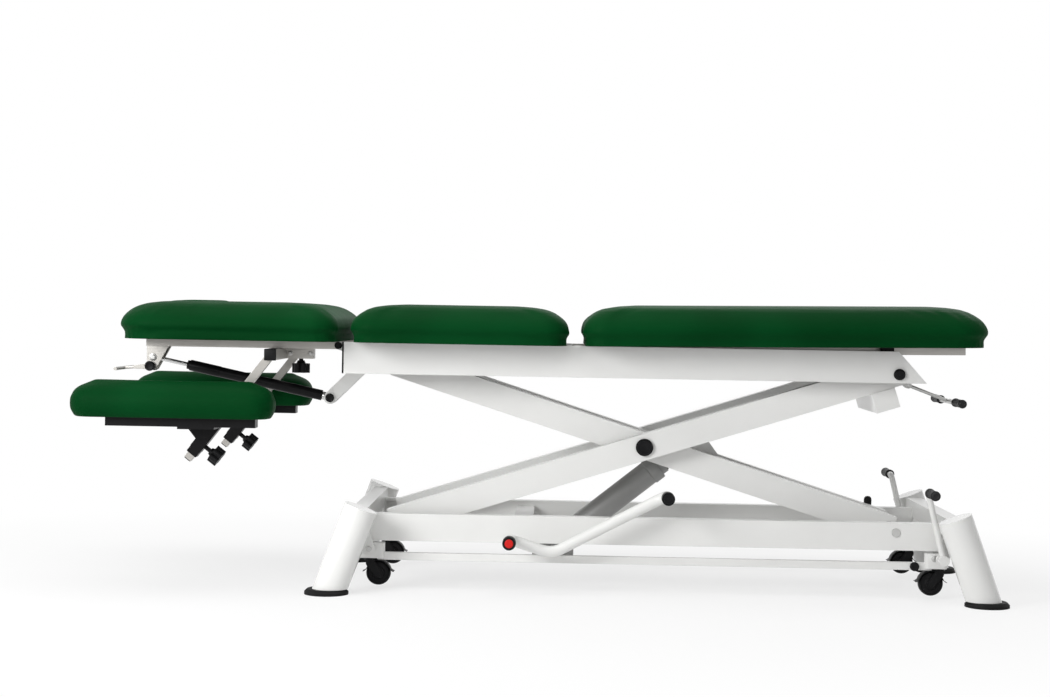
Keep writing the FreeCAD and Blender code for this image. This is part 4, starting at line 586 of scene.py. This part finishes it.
def spring_trim(finish):
    """Collars on the gas springs and the ram, the springs' bright ferrules and the ram's wiper."""
    black, chrome, grey = finish["black_coat"], finish["chrome"], finish["grey"]
    ends = {"head": (HEAD_SPRING_FOOT, HEAD_SPRING_EYE, 0.345),
            "leg": (LEG_SPRING_FOOT, LEG_SPRING_EYE, 0.215)}
    for name, (foot, eye, reach) in ends.items():
        collar = [(reach - 0.075, 0.0124), (reach - 0.073, 0.0131), (reach - 0.002, 0.0131),
                  (reach, 0.0127), (reach, 0.0124), (reach - 0.075, 0.0124)]
        piece = turned(name + "_spring_collar", foot, eye - foot, collar, hollow=True)
        finish_piece(piece, name + "_gas_barrel", black, "black_paint")
        ferrule = [(0.0145, 0.0086), (0.0150, 0.0098), (0.0200, 0.0098), (0.0215, 0.0090),
                   (0.0215, 0.0086), (0.0145, 0.0086)]
        piece = turned(name + "_spring_ferrule", foot, eye - foot, ferrule, hollow=True)
        finish_piece(piece, name + "_gas_barrel", chrome, "chrome_rod")
    stroke = RAM_EYE - RAM_FOOT
    collar = [(0.258, 0.0291), (0.2595, 0.0312), (0.2825, 0.0312), (0.285, 0.0296), (0.285, 0.0291),
              (0.258, 0.0291)]
    piece = turned("ram_collar", RAM_FOOT, stroke, collar, hollow=True, sides=48)
    finish_piece(piece, "ram_barrel", grey, "grey_paint")
    wiper = [(0.2995, 0.0156), (0.2995, 0.0225), (0.3025, 0.0205), (0.3035, 0.0160), (0.2995, 0.0156)]
    piece = turned("ram_wiper", RAM_FOOT, stroke, wiper, hollow=True, sides=48)
    finish_piece(piece, "ram_barrel", finish["rubber"], "rubber")


def pedal_trim(finish):
    """Black sleeve with a red button over the pedal's head peg, and the rim on the cap of its leg peg."""
    steps = [(0.318, 0.0128), (0.318, 0.0142), (0.3195, 0.0150), (0.3455, 0.0150), (0.3478, 0.0138),
             (0.3478, 0.0102), (0.3466, 0.0098)]
    sleeve = turned("pedal_head_sleeve", PEDAL_HEAD_PEG, NEAR, steps)
    finish_piece(sleeve, "pump_pedal", finish["black"], "black_plastic", "pedal_head_cap")
    steps = [(0.3466, 0.0096), (0.3482, 0.0096), (0.3490, 0.0086), (0.3494, 0.0060), (0.3496, 0.0025)]
    button = turned("pedal_red_button", PEDAL_HEAD_PEG, NEAR, steps)
    finish_piece(button, "pump_pedal", finish["red"], "red_plastic")
    steps = [(0.3472, 0.0112), (0.3478, 0.0108), (0.3478, 0.0096), (0.3472, 0.0092), (0.3472, 0.0112)]
    ring = turned("pedal_leg_rim", PEDAL_LEG_PEG, NEAR, steps, hollow=True)
    finish_piece(ring, "pump_pedal", finish["black"], "black_plastic")


def base_trim(finish):
    """Rubber buffer on its bracket behind the far rail, bolt caps of the castor bars, crank bolts."""
    black, steel, white, rubber = finish["black"], finish["steel"], finish["white"], finish["rubber"]
    bracket = block("buffer_bracket", (0.780, 0.098, 0.1675), (0.806, 0.170, 0.1715), 0.0008)
    finish_piece(bracket, "base", white, "white_paint")
    buffer = turned("lift_buffer", (0.793, 0.111, 0.1715), (0, 0, 1),
                    [(0, 0.0095), (0.003, 0.0095), (0.0035, 0.0060), (0.008, 0.0058), (0.010, 0.0088),
                     (0.024, 0.0094), (0.029, 0.0085), (0.0325, 0.0055), (0.0335, 0.0020)])
    finish_piece(buffer, "base", rubber, "rubber")
    cap = turned("castor_bar_cap", CASTOR_BAR_BOLT, NEAR, dome(0.200, 0.008, 0.0105))
    both_sides(cap, "near_castor_carriage", black, "black_plastic")
    for end, x in (("leg", 0.896), ("head", -0.400)):
        bolt = hex_bolt(end + "_crank_bolt", Vector((x, CRANK_FACE, CRANK_Z)), NEAR, 0.0052, 0.0050)
        both_sides(bolt, end + "_castor_shaft", steel, "silver_steel")


def castor_trim(finish):
    """Thin hood with brake tabs over each wheel."""
    hood = castor_hood("leg_near_castor_hood", LEG_WHEEL)
    head = twin(hood, "head_near_castor_hood")
    head.data.transform(Matrix.Translation((HEAD_WHEEL_X, 0, 0)) @ Matrix.Scale(-1, 4, (1, 0, 0))
                        @ Matrix.Translation((-LEG_WHEEL.x, 0, 0)))
    head.data.flip_normals()
    for end, piece in (("leg", hood), ("head", head)):
        far = twin(piece, end + "_far_castor_hood", across=True)
        finish_piece(piece, end + "_near_castor_fork", finish["black"], "black_plastic")
        finish_piece(far, end + "_far_castor_fork", finish["black"], "black_plastic")


def castor_hood(name, hub):
    """Arched strip over the wheel, turned out into a tab at each lower edge."""
    bpy.ops.object.select_all(action="DESELECT")
    bpy.ops.mesh.primitive_cylinder_add(vertices=56, radius=HOOD_RADIUS, depth=HOOD_WIDE,
                                        end_fill_type="NOTHING", location=hub,
                                        rotation=(math.pi / 2, 0, 0))
    hood = bpy.context.object
    hood.name = name
    bpy.ops.object.transform_apply(location=True, rotation=True, scale=True)
    bpy.ops.object.mode_set(mode="EDIT")
    bpy.ops.mesh.select_all(action="SELECT")
    bpy.ops.mesh.bisect(plane_co=hub + Vector((0, 0, HOOD_CUT)), plane_no=(0, 0, 1), clear_inner=True)
    for side in (-1, 1):
        choose_edges(hood, lambda point: (point.x - hub.x) * side > 0
                     and abs(point.z - hub.z - HOOD_CUT) < 0.0002)
        bpy.ops.mesh.extrude_region_move(TRANSFORM_OT_translate={"value": (side * 0.0045, 0, -0.0035)})
        bpy.ops.mesh.extrude_region_move(TRANSFORM_OT_translate={"value": (side * 0.0030, 0, -0.0005)})
    close_up(hood)
    add_modifier(hood, "SOLIDIFY", thickness=0.0008, offset=-1.0)
    add_modifier(hood, "BEVEL", width=0.0003, segments=2)
    return hood


def choose_edges(piece, test):
    """In edit mode, select only the edges whose two points pass the test."""
    bpy.ops.mesh.select_all(action="DESELECT")
    bpy.ops.mesh.select_mode(type="EDGE")
    shape = bmesh.from_edit_mesh(piece.data)
    for edge in shape.edges:
        if all(test(vertex.co) for vertex in edge.verts):
            edge.select_set(True)
    bmesh.update_edit_mesh(piece.data)


NODE_FINISH = {
    "gloss": ["foot_posts"],
    "white": ["base_rails", "base_crossbeams", "base_cross_member", "inner_arms", "outer_arms",
              "top_rails", "top_cross_tubes", "pump_pedal", "leg_castor_shaft", "near_castor_carriage",
              "far_castor_carriage"],
    "silver": ["head_frame", "leg_frame", "arm_support", "head_release_lever"],
    "steel": ["base_pins", "upper_roller_axle", "lower_roller_axle", "top_frame_pins", "leg_release_lever",
              "head_castor_shaft"],
    "chrome": ["ram_rod", "head_gas_rod", "leg_gas_rod"],
    "grey": ["ram_barrel", "pump_unit"],
    "black": ["rail_end_caps", "centre_pivot_bolts", "top_pivot_shaft", "arm_tube_knob", "near_arm_knob",
              "far_arm_knob", "pedal_leg_cap", "head_near_castor_wheel", "head_far_castor_wheel",
              "leg_near_castor_wheel", "leg_far_castor_wheel"],
    "black_coat": ["near_arm_carrier", "far_arm_carrier", "head_gas_barrel", "leg_gas_barrel",
                   "head_near_castor_fork", "head_far_castor_fork", "leg_near_castor_fork",
                   "leg_far_castor_fork"],
    "grip": ["castor_lever_grips", "leg_lever_grips"],
    "rubber": ["foot_pads", "rubber_stops"],
    "red": ["pedal_head_cap"],
    "green": ["head_board", "centre_board", "leg_board", "head_pad", "centre_pad", "leg_pad", "near_arm_pad",
              "far_arm_pad", "face_plug"],
}


def dress_nodes(finish):
    """Put the finishes on the CAD nodes."""
    for name, nodes in NODE_FINISH.items():
        for node in nodes:
            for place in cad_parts[node].material_slots:
                place.material = finish[name]


CAMERA_AT = Vector((0.041, -4.661, 0.632))
CAMERA_YAW = math.radians(-1.05)
CAMERA_PITCH = math.radians(-1.0)
CAMERA_ROLL = math.radians(1.0)
CAMERA_LENS = 67.19     # millimetres, as is the sensor's width
SENSOR_WIDE = 36.0
FLOOR_GLOW = 0.70       # share of plain white in the floor close to the table
SURROUND_LIGHT = 0.34   # strength of the white surround as a light


def photo_camera():
    """Camera at the photograph's place."""
    flat = math.cos(CAMERA_PITCH)
    forward = Vector((math.sin(CAMERA_YAW) * flat, math.cos(CAMERA_YAW) * flat, math.sin(CAMERA_PITCH)))
    level = Vector((math.cos(CAMERA_YAW), -math.sin(CAMERA_YAW), 0))
    upright = level.cross(forward)
    right = level * math.cos(CAMERA_ROLL) + upright * math.sin(CAMERA_ROLL)
    up = upright * math.cos(CAMERA_ROLL) - level * math.sin(CAMERA_ROLL)
    lens = bpy.data.cameras.new("photo_camera")
    lens.sensor_width = SENSOR_WIDE
    lens.lens = CAMERA_LENS
    camera = bpy.data.objects.new("photo_camera", lens)
    bpy.context.scene.collection.objects.link(camera)
    camera.matrix_world = Matrix.Translation(CAMERA_AT) @ Matrix((right, up, -forward)).transposed().to_4x4()
    bpy.context.scene.camera = camera


def softbox(name, at, target, size, watts):
    """Rectangular light at a point, turned towards another."""
    light = bpy.data.lights.new(name, "AREA")
    light.shape = "RECTANGLE"
    light.size, light.size_y = size
    light.energy = watts
    lamp = bpy.data.objects.new(name, light)
    bpy.context.scene.collection.objects.link(lamp)
    aim = (Vector(target) - Vector(at)).to_track_quat("-Z", "Y")
    lamp.matrix_world = Matrix.Translation(Vector(at)) @ aim.to_matrix().to_4x4()


def white_floor():
    """Pale floor that fades to plain white away from the table. It keeps the table's shadow."""
    paint = Finish("pale_floor")
    paint.set(base_color=rgb(0.88, 0.88, 0.88), roughness=0.7, specular_ior_level=0.05)
    ray = {name: paint.node("ShaderNodeLightPath", out=name)
           for name in ("Is Camera Ray", "Is Glossy Ray", "Is Transmission Ray")}
    seen = ray["Is Camera Ray"].math("MAXIMUM", ray["Is Glossy Ray"])
    seen = seen.math("MAXIMUM", ray["Is Transmission Ray"])
    x, y = paint.along("X") * 0.72, paint.along("Y")
    away = (x * x + y * y).math("SQRT").between(0.55, 1.75)
    share = (away * (1 - FLOOR_GLOW) + FLOOR_GLOW) * seen
    glow = paint.node("ShaderNodeEmission", None, {"Color": rgb(1, 1, 1), "Strength": 1.0})
    blend = paint.tree.nodes.new("ShaderNodeMixShader")
    paint.give(blend.inputs[0], share)
    paint.tree.links.new(paint.surface.outputs[0], blend.inputs[1])
    paint.tree.links.new(glow.socket, blend.inputs[2])
    paint.tree.links.new(blend.outputs[0], paint.tree.nodes["Material Output"].inputs["Surface"])
    return paint.material


def studio():
    """Pale floor, white surround and soft light."""
    bpy.ops.object.select_all(action="DESELECT")
    bpy.ops.mesh.primitive_plane_add(size=60.0)
    floor = bpy.context.object
    floor.name = "floor"
    floor.data.materials.append(white_floor())
    world = bpy.data.worlds.new("surround")
    bpy.context.scene.world = world
    world.use_nodes = True
    tree = world.node_tree
    back = tree.nodes["Background"]
    ray = tree.nodes.new("ShaderNodeLightPath")
    seen = tree.nodes.new("ShaderNodeMath")
    seen.operation = "MAXIMUM"
    tree.links.new(ray.outputs["Is Camera Ray"], seen.inputs[0])
    tree.links.new(ray.outputs["Is Glossy Ray"], seen.inputs[1])
    strength = tree.nodes.new("ShaderNodeMapRange")
    strength.inputs["To Min"].default_value = SURROUND_LIGHT
    strength.inputs["To Max"].default_value = 1.0
    tree.links.new(seen.outputs[0], strength.inputs["Value"])
    tree.links.new(strength.outputs[0], back.inputs["Strength"])
    back.inputs["Color"].default_value = rgb(1, 1, 1)
    softbox("overhead", (-0.5, -0.6, 3.4), (-0.2, 0, 0.3), (3.6, 2.6), 62)
    softbox("left_front", (-2.3, -2.7, 1.5), (-0.2, 0, 0.4), (1.6, 1.4), 84)
    softbox("back_rim", (1.4, 3.4, 2.4), (0, 0, 0.4), (3.0, 1.4), 30)
    bpy.context.scene.view_settings.view_transform = "Standard"


def main():
    """Build the scene."""
    finish = finishes()
    dress_nodes(finish)
    upholstery(finish)
    top_trim(finish)
    head_trim(finish)
    lever_trim(finish)
    spring_trim(finish)
    pedal_trim(finish)
    base_trim(finish)
    castor_trim(finish)
    photo_camera()
    studio()


main()
